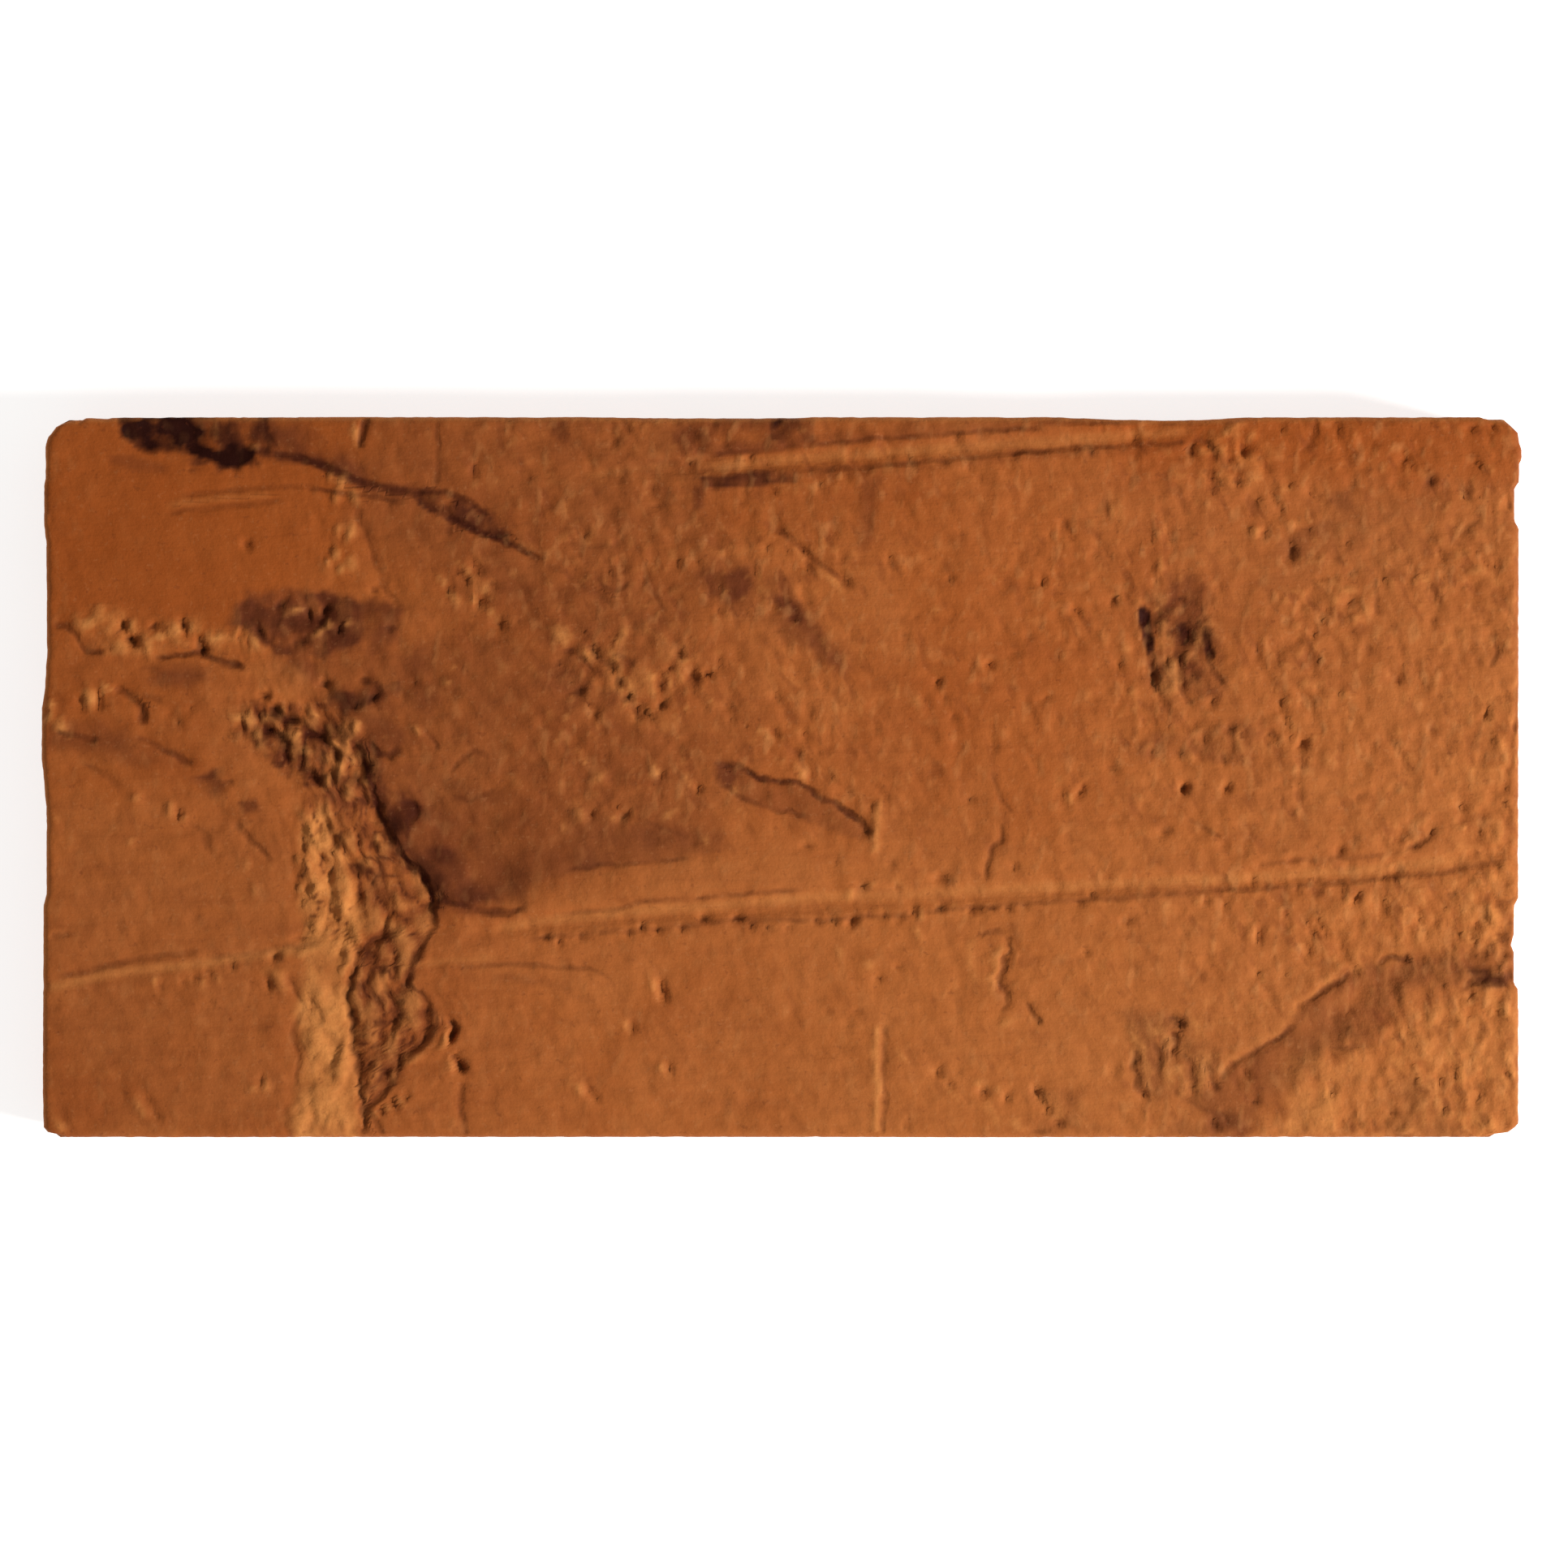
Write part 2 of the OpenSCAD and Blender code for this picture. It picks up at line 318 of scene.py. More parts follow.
def stroke(px, width, depth=0.0, soot=0.0, stain_and_shade=0.0, pale=0.0, waver=0.3, ends=0.12,
           step=0.0, reach=2.5, wave=3.0, broken=0.0, seed=0):
    """A line mark. width in mm. step lowers the side to the left of its direction, fading over reach mm."""
    pts = P(*px)
    xs, ys = [p[0] for p in pts], [p[1] for p in pts]
    m = width + reach
    w = window(min(xs) - m, max(xs) + m, min(ys) - m, max(ys) + m)
    x, y = X[w], Y[w]
    x2 = x + waver * fbm(x, y, wave, 3, 51 + seed)
    y2 = y + waver * fbm(x, y, wave, 3, 57 + seed)
    d, s, side = along(pts, x2, y2)
    taper = smooth(0, ends, s) * smooth(0, ends, 1 - s) if ends else 1.0
    if broken:
        taper = taper * smooth(-0.25, 0.25, fbm(x, y, 2.2, 2, 63 + seed) + (1 - 2 * broken))
    half = max(width, 1.5) / 2 * (0.6 + 0.4 * taper)
    k = (1 - smooth(0.0, 1.15, d / half)) * taper
    H[w] -= DEEP * depth * min(1.0, width / 1.1 + 0.15) * k
    if step:
        H[w] -= step * taper * (side > 0) * (1 - smooth(0, reach, d)) * smooth(0, 0.5, d)
    # the dark of a crack or crease: painted shade in it, with dirt
    for f, a in ((SOOT, 0.22 * soot), (STAIN, stain_and_shade + 0.3 * soot), (PALE, pale)):
        if a:
            f[w] = 1 - (1 - f[w]) * (1 - np.clip(a * k, 0, 1))
    if soot:
        strength = taper * soot * (1 - smooth(0.6, 1.05, d))
        signed = d * np.where(side < 0, -1, 1)
        hit = (d < np.abs(LINE_D[w])) & (d < 2.4) & ((strength > 0.02) | (LINE_S[w] < 0.02))
        LINE_D[w] = np.where(hit, signed, LINE_D[w])
        LINE_S[w] = np.where(hit, strength, LINE_S[w])
        LINE_W[w] = np.where(hit, width * 0.36, LINE_W[w])


def inside(points, x, y):
    """Signed distance to a closed outline, positive inside."""
    closed = points + points[:1]
    d, _, _ = along(closed, x, y)
    odd = np.zeros(x.shape, bool)
    for (ax, ay), (bx, by) in zip(closed, closed[1:]):
        if ay == by:
            continue
        hit = ((ay > y) != (by > y)) & (x < (bx - ax) * (y - ay) / (by - ay) + ax)
        odd ^= hit
    return np.where(odd, d, -d)


def patch(px, stain_and_shade=0.0, soot=0.0, pale=0.0, warm=0.0, rough=0.0, depth=0.0, soft=1.5,
          waver=1.0, wave=6.0, mottle=0.0, mottle_wave=4.0, seed=0, dsoft=None):
    """An area mark with a noisy outline. soft is the width of its fading edge in mm."""
    pts = P(*px)
    xs, ys = [p[0] for p in pts], [p[1] for p in pts]
    m = soft + waver * 2
    w = window(min(xs) - m, max(xs) + m, min(ys) - m, max(ys) + m)
    x, y = X[w], Y[w]
    d = inside(pts, x + waver * fbm(x, y, wave, 4, 71 + seed), y + waver * fbm(x, y, wave, 4, 75 + seed))
    k = smooth(-soft / 2, soft / 2, d)
    spots = np.clip(1 + mottle * 2.2 * fbm(x, y, mottle_wave, 4, 81 + seed), 0, 1.4) if mottle else 1.0
    for f, a in ((STAIN, stain_and_shade), (SOOT, soot), (PALE, pale), (WARM, warm), (ROUGH, rough)):
        if a:
            f[w] = 1 - (1 - f[w]) * (1 - np.clip(a * k * spots, 0, 1))
    if depth:
        kd = k if dsoft is None else smooth(-dsoft / 2, dsoft / 2, d)
        H[w] -= depth * kd


def shade(px, reach, stain_and_shade=0.0, soot=0.0, pale=0.0, waver=0.3, ends=0.15, crisp=0.5, seed=0):
    """Colour to the left of a line's direction, crisp at the line and fading over reach mm."""
    pts = P(*px)
    xs, ys = [p[0] for p in pts], [p[1] for p in pts]
    w = window(min(xs) - reach, max(xs) + reach, min(ys) - reach, max(ys) + reach)
    x, y = X[w], Y[w]
    d, t, side = along(pts, x + waver * fbm(x, y, 3.0, 3, 51 + seed), y + waver * fbm(x, y, 3.0, 3, 57 + seed))
    k = (side > 0) * smooth(0, crisp, d) * (1 - smooth(0.3 * reach, reach, d))
    k = k * smooth(0, ends, t) * smooth(0, ends, 1 - t) * np.clip(1 + 0.7 * fbm(x, y, 4.0, 3, 83 + seed), 0, 1.3)
    for f, a in ((STAIN, stain_and_shade), (SOOT, soot), (PALE, pale)):
        if a:
            f[w] = 1 - (1 - f[w]) * (1 - np.clip(a * k, 0, 1))


def pit(px, py, a=0.7, b=0.45, deg=110, depth=0.3, soot=0.0, pale=0.0, sharp=1.0, seed=0, rag=0.5, grow=1.45):
    """A pit or, with a negative depth, a crumb. a and b are its half length and half width in mm."""
    a, b = a * grow, b * grow
    ((cx, cy),) = P((px, py))
    m = max(a, b) * 2.4
    w = window(cx - m, cx + m, cy - m, cy + m)
    x, y = X[w] - cx, Y[w] - cy
    c, s = math.cos(math.radians(deg)), math.sin(math.radians(deg))
    u, v = (x * c + y * s) / a, (y * c - x * s) / b
    r = np.sqrt(u * u + v * v) * (1 + rag * fbm(X[w], Y[w], 1.5, 2, 91 + seed))
    k = 1 - smooth(0.15 if sharp > 1 else 0.0, 1.25, r)
    H[w] -= (1.7 if depth > 0 else 1.5) * depth * k
    # the pit's dark centre: painted shade in its hollow, with dirt
    if soot:
        SOOT[w] = 1 - (1 - SOOT[w]) * (1 - np.clip(0.78 * soot * (1 - smooth(0, 1.1, r)), 0, 1))
    if pale:
        PALE[w] = 1 - (1 - PALE[w]) * (1 - np.clip(pale * (1 - smooth(0, 1.2, r)), 0, 1))


def pits(rows, **same):
    for n, row in enumerate(rows):
        pit(*row, seed=n % 7, **same)


# --- slow colour of the whole face -----------------------------------------
patch([(50, 515), (430, 515), (430, 700), (300, 780), (50, 780)], warm=0.55, soft=9, waver=2)
patch([(50, 1000), (330, 1000), (380, 1200), (350, 1400), (50, 1400)], stain_and_shade=0.12, soft=10, waver=3)
patch([(1250, 500), (1880, 500), (1880, 600), (1700, 590), (1400, 560)], warm=0.6, soft=7, waver=2)
patch([(1090, 600), (1320, 600), (1380, 860), (1300, 1080), (1120, 900)], warm=0.35, soft=12, waver=3)
patch([(430, 500), (860, 500), (900, 700), (820, 800), (700, 820), (560, 700), (430, 640)], stain_and_shade=0.33, soft=8,
      waver=2, mottle=0.15)
patch([(470, 650), (640, 650), (700, 760), (690, 860), (560, 880), (480, 820)], stain_and_shade=0.13, soft=6, waver=2, mottle=0.2)
patch([(850, 500), (1150, 500), (1160, 620), (1040, 690), (860, 660)], stain_and_shade=0.13, warm=0.4, soft=8, waver=2, mottle=0.15)
patch([(50, 820), (200, 820), (270, 900), (240, 970), (50, 985)], stain_and_shade=0.10, warm=0.35, soft=6, waver=2, mottle=0.2)
patch([(560, 700), (900, 760), (960, 900), (860, 1060), (600, 1100), (480, 900)], stain_and_shade=0.16, soft=9, waver=2,
      mottle=0.15)
patch([(1380, 1240), (1560, 1200), (1880, 1080), (1880, 1405), (1380, 1405)], stain_and_shade=0.10, pale=0.05, soft=9,
      waver=3, mottle=0.3)
patch([(1600, 1280), (1880, 1230), (1880, 1400), (1560, 1400)], pale=0.08, soft=5, waver=2, mottle=0.4)
patch([(1560, 600), (1880, 620), (1880, 1040), (1600, 1000)], pale=0.05, soft=9, waver=3, mottle=0.4)

# --- purple-brown stains -----------------------------------------------------
patch([(430, 800), (560, 795), (640, 800), (700, 830), (760, 870), (800, 905), (850, 950), (880, 1000),
       (875, 1040), (840, 1057), (760, 1064), (700, 1078), (650, 1090), (610, 1112), (560, 1112), (520, 1080),
       (480, 1030), (460, 980), (445, 930), (425, 870)], stain_and_shade=0.24, soft=4.5, waver=1.6, mottle=0.2)
patch([(450, 930), (520, 950), (590, 970), (700, 990), (800, 1010), (850, 1045), (760, 1062), (700, 1075),
       (650, 1090), (610, 1114), (560, 1116), (520, 1085), (480, 1035)], stain_and_shade=0.20, soft=1.6, waver=0.6, mottle=0.2)
patch([(462, 965), (500, 975), (520, 1005), (505, 1028), (480, 1030)], stain_and_shade=0.75, soot=0.26, soft=2.0, waver=1.4, wave=4, mottle=0.6)
patch([(486, 1038), (560, 1045), (580, 1080), (610, 1110), (560, 1118), (532, 1096), (505, 1066)], stain_and_shade=0.7,
      soot=0.22, soft=1.8, waver=0.8, mottle=0.3)
patch([(472, 985), (520, 985), (560, 1020), (610, 1060), (640, 1090), (610, 1112), (555, 1112), (515, 1075), (488, 1035)],
      stain_and_shade=0.38, soft=3.5, waver=1.0, mottle=0.2)
shade([(900, 1049), (830, 1060), (760, 1067), (705, 1077), (656, 1090), (651, 1122), (601, 1128), (560, 1133)][::-1], 7,
      stain_and_shade=0.42, waver=0.3, ends=0.04)
stroke([(492, 992), (508, 990), (512, 1006), (500, 1014)], 0.8, depth=0.12, soot=0.32)
patch([(300, 730), (350, 720), (400, 728), (440, 740), (450, 760), (430, 790), (390, 800), (340, 805),
       (310, 790), (285, 765)], stain_and_shade=0.85, soot=0.16, soft=1.8, waver=0.9, wave=4, mottle=0.3, rough=0.25)
patch([(330, 800), (450, 790), (520, 800), (560, 850), (480, 900), (430, 880), (380, 860), (330, 830)],
      stain_and_shade=0.30, soft=2.2, waver=1.3, mottle=0.3, rough=0.12)
patch([(308, 768), (345, 756), (400, 760), (446, 768), (434, 796), (390, 808), (335, 806)], stain_and_shade=0.8, soot=0.14, soft=1.2,
      waver=0.9, wave=4, mottle=0.3)
patch([(420, 738), (465, 732), (498, 752), (490, 788), (452, 806), (425, 790)], stain_and_shade=0.55, soot=0.06, soft=1.8, waver=1.0,
      wave=4, mottle=0.4)
patch([(350, 800), (372, 800), (398, 834), (388, 842), (360, 828)], stain_and_shade=0.5, soft=1.2, waver=0.6)
patch([(300, 815), (345, 810), (372, 836), (392, 852), (360, 862), (318, 845)], pale=0.12, soft=2, waver=0.8)
patch([(398, 868), (412, 852), (440, 848), (468, 842), (494, 842), (488, 856), (462, 860), (446, 872), (420, 884)],
      stain_and_shade=0.75, soot=0.34, soft=1.3, waver=0.7, wave=3, mottle=0.35, rough=0.25)
patch([(446, 880), (480, 882), (500, 905), (490, 930), (460, 932), (447, 910)], stain_and_shade=0.55, soot=0.12, soft=1.4, waver=0.7)
stroke([(452, 912), (462, 930), (480, 932), (496, 916)], 0.9, depth=0.2, soot=0.5)
patch([(835, 515), (1000, 515), (1000, 545), (930, 558), (870, 562), (835, 550)], stain_and_shade=0.5, soft=1.2, waver=0.7, mottle=0.4)
patch([(952, 515), (990, 515), (985, 530), (966, 545), (950, 540)], stain_and_shade=0.6, soot=0.55, soft=1, waver=0.6, mottle=0.4)
patch([(860, 586), (985, 578), (985, 594), (930, 600), (866, 600)], stain_and_shade=0.75, soot=0.42, soft=0.8, waver=0.35, mottle=0.3)
patch([(854, 598), (868, 598), (866, 626), (856, 628)], stain_and_shade=0.6, soot=0.12, soft=0.8, waver=0.3)
patch([(860, 704), (924, 700), (932, 722), (900, 744), (872, 738)], stain_and_shade=0.85, soot=0.05, soft=1.6, waver=0.8, mottle=0.15)
patch([(948, 728), (984, 742), (990, 768), (965, 772), (940, 746)], stain_and_shade=0.75, soft=1.4, waver=0.9, mottle=0.4)
patch([(985, 742), (1015, 780), (1050, 830), (1030, 828), (1000, 800), (980, 770)], stain_and_shade=0.6, soft=1.4, waver=0.6)
patch([(850, 694), (900, 690), (960, 712), (1010, 755), (1052, 818), (1034, 832), (980, 796), (930, 766), (880, 748)],
      stain_and_shade=0.34, soft=2.2, waver=1.2, wave=5, mottle=0.4)
patch([(1540, 722), (1600, 660), (1680, 612), (1780, 590), (1792, 618), (1700, 652), (1624, 702), (1570, 742)],
      stain_and_shade=0.20, soft=3, waver=1.6, mottle=0.4)
patch([(1395, 906), (1480, 900), (1530, 888), (1562, 904), (1540, 934), (1460, 932), (1400, 930)], stain_and_shade=0.38, rough=0.25,
      soft=1.4, waver=1.0, wave=4, mottle=0.4)
patch([(1060, 580), (1085, 585), (1078, 640), (1066, 685), (1052, 680), (1060, 620)], stain_and_shade=0.42, soft=1.6, waver=0.6)
patch([(674, 517), (700, 517), (698, 548), (684, 540)], stain_and_shade=0.6, soft=0.7, waver=0.4)
patch([(172, 824), (215, 816), (262, 826), (240, 840), (200, 836)], stain_and_shade=0.4, soft=1, waver=0.5)
patch([(236, 958), (262, 950), (284, 962), (272, 980), (250, 978)], stain_and_shade=0.85, soot=0.25, soft=1.1, waver=0.7, wave=3, depth=0.15, mottle=0.3)
patch([(292, 988), (318, 986), (322, 1000), (300, 1004)], stain_and_shade=0.7, soft=0.8, waver=0.5)
patch([(60, 890), (160, 900), (220, 940), (180, 950), (110, 930), (60, 920)], stain_and_shade=0.3, soft=2.4, waver=1.2)
patch([(1640, 606), (1664, 604), (1672, 624), (1652, 634), (1636, 622)], stain_and_shade=0.5, soft=1.3, waver=0.7)
patch([(1575, 675), (1620, 642), (1636, 650), (1604, 690)], stain_and_shade=0.4, soft=1.4, waver=0.8)
patch([(1755, 578), (1772, 582), (1768, 600), (1754, 602)], stain_and_shade=0.6, soot=0.1, soft=0.9, waver=0.4)
patch([(1402, 745), (1455, 725), (1475, 745), (1505, 800), (1512, 850), (1480, 880), (1440, 878), (1418, 850),
       (1404, 800)], stain_and_shade=0.55, soft=2, waver=1.3, wave=4, mottle=0.5, rough=0.6)
patch([(1620, 690), (1700, 650), (1800, 670), (1700, 720)], stain_and_shade=0.12, soft=4, waver=2)
patch([(1497, 1332), (1528, 1303), (1574, 1278), (1612, 1236), (1645, 1208), (1698, 1186), (1760, 1180), (1815, 1186),
       (1862, 1195), (1862, 1215), (1811, 1216), (1758, 1216), (1722, 1240), (1695, 1284), (1640, 1300), (1588, 1340),
       (1548, 1380), (1530, 1402), (1495, 1402), (1470, 1360)], stain_and_shade=0.40, soft=1.8, waver=1.2, wave=4, mottle=0.3)
stroke([(1490, 1324), (1524, 1296), (1570, 1270), (1604, 1232), (1640, 1203), (1668, 1186)], 1.2, depth=-0.02, pale=0.12,
       waver=0.6, broken=0.2)
patch([(1716, 1185), (1800, 1170), (1862, 1150), (1864, 1190), (1800, 1192), (1724, 1215)], stain_and_shade=0.3, soft=2.4, waver=1.2)
patch([(1700, 1330), (1790, 1330), (1800, 1402), (1700, 1402)], stain_and_shade=0.4, soft=2.5, waver=1.5, mottle=0.4)
patch([(1440, 1380), (1520, 1370), (1540, 1402), (1430, 1402)], stain_and_shade=0.4, soft=2.0, waver=1.2, mottle=0.4)
patch([(1806, 1192), (1862, 1200), (1858, 1218), (1824, 1216)], stain_and_shade=0.7, soot=0.3, soft=0.8, waver=0.5, mottle=0.3)
patch([(1388, 1250), (1440, 1246), (1470, 1262), (1500, 1310), (1480, 1350), (1430, 1360), (1396, 1330)],
      stain_and_shade=0.50, rough=0.35, soft=2.4, waver=1.5, wave=5, mottle=0.3)
patch([(1270, 1340), (1330, 1345), (1360, 1400), (1270, 1402)], stain_and_shade=0.3, rough=0.4, soft=2, waver=1, mottle=0.4)
patch([(1465, 540), (1560, 520), (1560, 600), (1490, 600)], rough=0.5, soft=2, waver=1)
patch([(1640, 1100), (1880, 1060), (1880, 1405), (1600, 1405)], rough=0.35, soft=5, waver=3)
patch([(1780, 850), (1880, 850), (1880, 1180), (1790, 1160)], rough=0.45, soft=3, waver=2)

# --- the near-black pocket at the top left and the crease that trails from it --
patch([(146, 513), (250, 512), (332, 512), (336, 548), (312, 572), (280, 577), (240, 570), (205, 556), (170, 552),
       (148, 534)], stain_and_shade=0.9, soot=0.42, soft=1.8, waver=1.2, wave=3, depth=0.2, dsoft=1.4, mottle=0.4, mottle_wave=4)
patch([(147, 512), (238, 512), (250, 532), (238, 553), (205, 555), (174, 550), (152, 536)], soot=0.93, soft=2.2,
      waver=1.3, wave=4, depth=0.15, mottle=0.15, mottle_wave=4)
patch([(230, 545), (262, 551), (300, 549), (320, 556), (310, 570), (282, 575), (250, 568), (230, 560)], soot=0.92,
      soft=1.5, waver=0.9, wave=3, depth=0.1)
pits([(222, 540, 0.9, 0.6, 0, -0.1), (265, 529, 1.2, 0.45, 95, -0.1)], pale=0.35)
pits([(291, 576, 0.9, 0.5, 60, 0.1), (236, 580, 0.8, 0.5, 10, 0.1)], soot=0.6)
patch([(325, 513), (370, 520), (415, 545), (450, 580), (425, 588), (375, 566), (330, 558)], stain_and_shade=0.6, soot=0.05, soft=2.4,
      waver=1.2, mottle=0.3)
patch([(130, 562), (160, 560), (205, 574), (206, 584), (170, 580), (135, 573)], stain_and_shade=0.4, soft=0.9, waver=0.5, depth=0.08)
patch([(316, 548), (350, 551), (385, 560), (423, 578), (460, 592), (500, 600), (505, 612), (462, 606), (420, 592),
       (380, 572), (330, 562)], stain_and_shade=0.8, soot=0.22, soft=1.1, waver=0.4, depth=0.15, mottle=0.25)
stroke([(322, 558), (360, 562), (400, 576), (440, 591), (480, 600), (520, 610)], 1.0, depth=0.15, soot=0.5)
stroke([(371, 599), (413, 606), (468, 613), (505, 622)], 0.7, depth=0.12, soot=0.45)
patch([(498, 598), (535, 604), (560, 612), (585, 622), (612, 640), (630, 660), (612, 666), (580, 655), (550, 640),
       (522, 626)], stain_and_shade=0.95, soot=0.40, soft=1.0, waver=0.4, wave=3, depth=0.15, mottle=0.35)
stroke([(505, 604), (532, 607), (545, 604), (575, 618), (606, 634)], 0.8, depth=0.1, soot=0.55)
stroke([(541, 634), (575, 648), (606, 660), (636, 672), (666, 692)], 1.1, depth=0.25, soot=0.75)
stroke([(668, 694), (691, 704), (717, 722), (760, 748)], 0.7, depth=0.08, soot=0.22, broken=0.1)
stroke([(538, 512), (539, 560), (538, 600)], 0.7, depth=0.1, soot=0.3)
stroke([(551, 618), (553, 640), (553, 660)], 0.6, depth=0.1, soot=0.4)
stroke([(450, 511), (448, 530), (443, 553)], 1.1, depth=0.3, soot=0.55)
pits([(438, 534, 1.6, 0.45, 95, -0.18), (421, 594, 1.3, 0.55, 80, -0.3), (435, 611, 1.1, 0.5, 100, -0.3),
      (432, 655, 1.2, 0.6, 80, -0.25), (433, 694, 1.1, 0.5, 100, -0.25), (420, 702, 0.8, 0.5, 60, -0.2),
      (413, 684, 0.6, 0.4, 60, -0.2)], pale=0.7)
stroke([(440, 616), (443, 640), (452, 660), (461, 682), (474, 716), (489, 744)], 0.9, depth=0.12, soot=0.24, waver=0.7)
stroke([(199, 624), (240, 617), (290, 612), (340, 609)], 1.4, depth=-0.06, pale=0.18, waver=0.1)
stroke([(200, 633), (250, 626), (300, 621), (352, 616)], 0.7, depth=0.10, soot=0.22, waver=0.1)
stroke([(215, 612), (270, 605), (330, 600), (395, 598)], 0.7, depth=0.08, soot=0.22, waver=0.1)
pits([(303, 671, 0.7, 0.6, 0, 0.25), (489, 743, 0.9, 0.6, 150, 0.25), (585, 577, 0.8, 0.4, 90, 0.2)], soot=0.4)

# --- left side: ticks and crumbs ---------------------------------------------
patch([(90, 760), (140, 752), (200, 764), (250, 770), (310, 778), (318, 800), (270, 806), (230, 798), (170, 806),
       (110, 795)], pale=0.12, rough=0.45, soft=2.4, waver=1.6, wave=4, mottle=0.9, mottle_wave=2.5)
pits([(109, 769, 1.4, 0.8, 30, -0.25), (162, 772, 0.9, 0.6, 90, -0.3), (184, 795, 1.0, 0.6, 100, -0.3),
      (148, 798, 1.1, 0.7, 30, -0.25), (214, 778, 0.9, 0.7, 60, -0.25), (268, 787, 1.5, 0.7, 10, -0.25),
      (235, 774, 0.8, 0.5, 90, -0.25), (314, 792, 1.3, 0.5, 125, -0.3), (196, 783, 0.7, 0.5, 0, -0.2),
      (112, 861, 0.8, 1.3, 0, -0.35), (128, 852, 0.6, 0.4, 60, -0.25), (75, 896, 1.4, 0.7, 140, -0.3),
      (60, 884, 0.7, 0.4, 60, -0.25), (132, 847, 1.0, 0.3, 140, -0.2), (62, 868, 0.6, 0.4, 90, -0.2)], pale=0.8)
pits([(152, 770, 1.0, 0.45, 105, 0.4), (163, 789, 1.2, 0.6, 128, 0.5), (190, 770, 1.1, 0.35, 45, 0.3),
      (226, 770, 1.2, 0.42, 112, 0.4), (247, 795, 1.1, 0.6, 105, 0.5), (252, 800, 0.8, 0.35, 20, 0.3)], soot=0.85)
stroke([(60, 768), (80, 772), (94, 783), (102, 800), (130, 806)], 0.9, depth=0.2, soot=0.42)
stroke([(186, 812), (216, 806), (240, 804), (266, 813), (306, 823)], 1.0, depth=0.22, soot=0.6, step=0.08)
patch([(176, 836), (215, 828), (258, 836), (236, 850), (196, 846)], stain_and_shade=0.5, soot=0.08, soft=1.3, waver=0.8, depth=0.08)
stroke([(140, 844), (158, 858), (172, 868), (177, 880), (173, 894)], 1.1, depth=0.3, soot=0.5)
stroke([(170, 856), (200, 862)], 0.7, depth=0.1, soot=0.25)
pits([(100, 862, 0.9, 0.4, 100, 0.3), (121, 864, 0.9, 0.4, 95, 0.35), (52, 884, 0.9, 0.5, 30, 0.3),
      (208, 880, 0.5, 0.4, 0, 0.25), (220, 889, 0.9, 0.35, 120, 0.2), (236, 872, 0.7, 0.35, 60, 0.2)], soot=0.42)
patch([(60, 890), (100, 892), (150, 905), (160, 925), (110, 922), (66, 912)], stain_and_shade=0.35, soft=1.6, waver=0.9)
stroke([(66, 900), (90, 906), (122, 913)], 0.9, depth=0.25, soot=0.45)
stroke([(165, 908), (190, 918), (215, 929), (240, 942)], 1.0, depth=0.2, soot=0.42, step=0.1)
stroke([(95, 940), (130, 955), (150, 972)], 0.8, depth=0.12, soot=0.2)
pits([(219, 1001, 0.9, 0.45, 115, 0.35), (284, 963, 0.5, 0.4, 0, 0.2)], soot=0.42)
pits([(209, 996, 0.9, 0.5, 90, -0.3), (166, 984, 0.7, 0.5, 60, -0.25), (161, 1037, 0.6, 0.4, 60, -0.2),
      (226, 1008, 0.5, 0.4, 60, -0.2), (314, 1099, 0.7, 0.4, 100, -0.2), (304, 1064, 0.6, 0.4, 100, -0.15)], pale=0.4)
stroke([(286, 1009), (300, 1028), (322, 1050), (335, 1064)], 1.0, depth=0.18, soot=0.3, waver=0.5)
stroke([(228, 1010), (250, 1030), (262, 1050)], 0.9, depth=0.12, soot=0.2, waver=0.5)
stroke([(54, 1218), (93, 1211), (128, 1200), (180, 1194), (250, 1187), (310, 1178), (400, 1168)], 2.0, pale=0.40, depth=-0.08,
       waver=0.12, ends=0.03)
stroke([(66, 1206), (117, 1194), (156, 1184), (200, 1177), (250, 1172)], 0.9, depth=0.14, soot=0.32, waver=0.2)
stroke([(250, 1180), (300, 1176), (345, 1168), (398, 1163)], 0.9, depth=0.12, soot=0.25, waver=0.2)
stroke([(61, 1155), (90, 1150)], 0.9, depth=0.1, soot=0.2, waver=0.2)
pits([(198, 1216, 0.5, 0.8, 10, 0.25), (226, 1211, 0.4, 0.6, 20, 0.25), (257, 1197, 0.8, 0.4, 110, 0.3),
      (286, 1190, 0.7, 0.35, 100, 0.3), (240, 1204, 0.5, 0.5, 0, 0.25), (258, 1232, 0.8, 0.3, 110, 0.2),
      (340, 1178, 0.9, 0.5, 20, 0.35), (330, 1212, 1.1, 0.4, 110, 0.3), (372, 1156, 1.5, 0.4, 0, 0.35),
      (180, 1352, 1.2, 0.3, 120, 0.15), (192, 1372, 1.3, 0.4, 115, 0.15), (322, 1330, 0.6, 0.35, 90, 0.2)], soot=0.45)
pits([(341, 1203, 1.5, 0.9, 120, -0.35), (249, 1211, 0.6, 0.35, 90, -0.2), (268, 1206, 0.7, 0.35, 100, -0.2),
      (190, 1208, 0.6, 0.4, 90, -0.2), (172, 1364, 1.3, 0.35, 115, -0.15), (328, 1338, 0.8, 0.5, 90, -0.2),
      (72, 1386, 0.6, 1.0, 30, -0.2), (312, 1342, 0.5, 0.4, 0, -0.15)], pale=0.5)

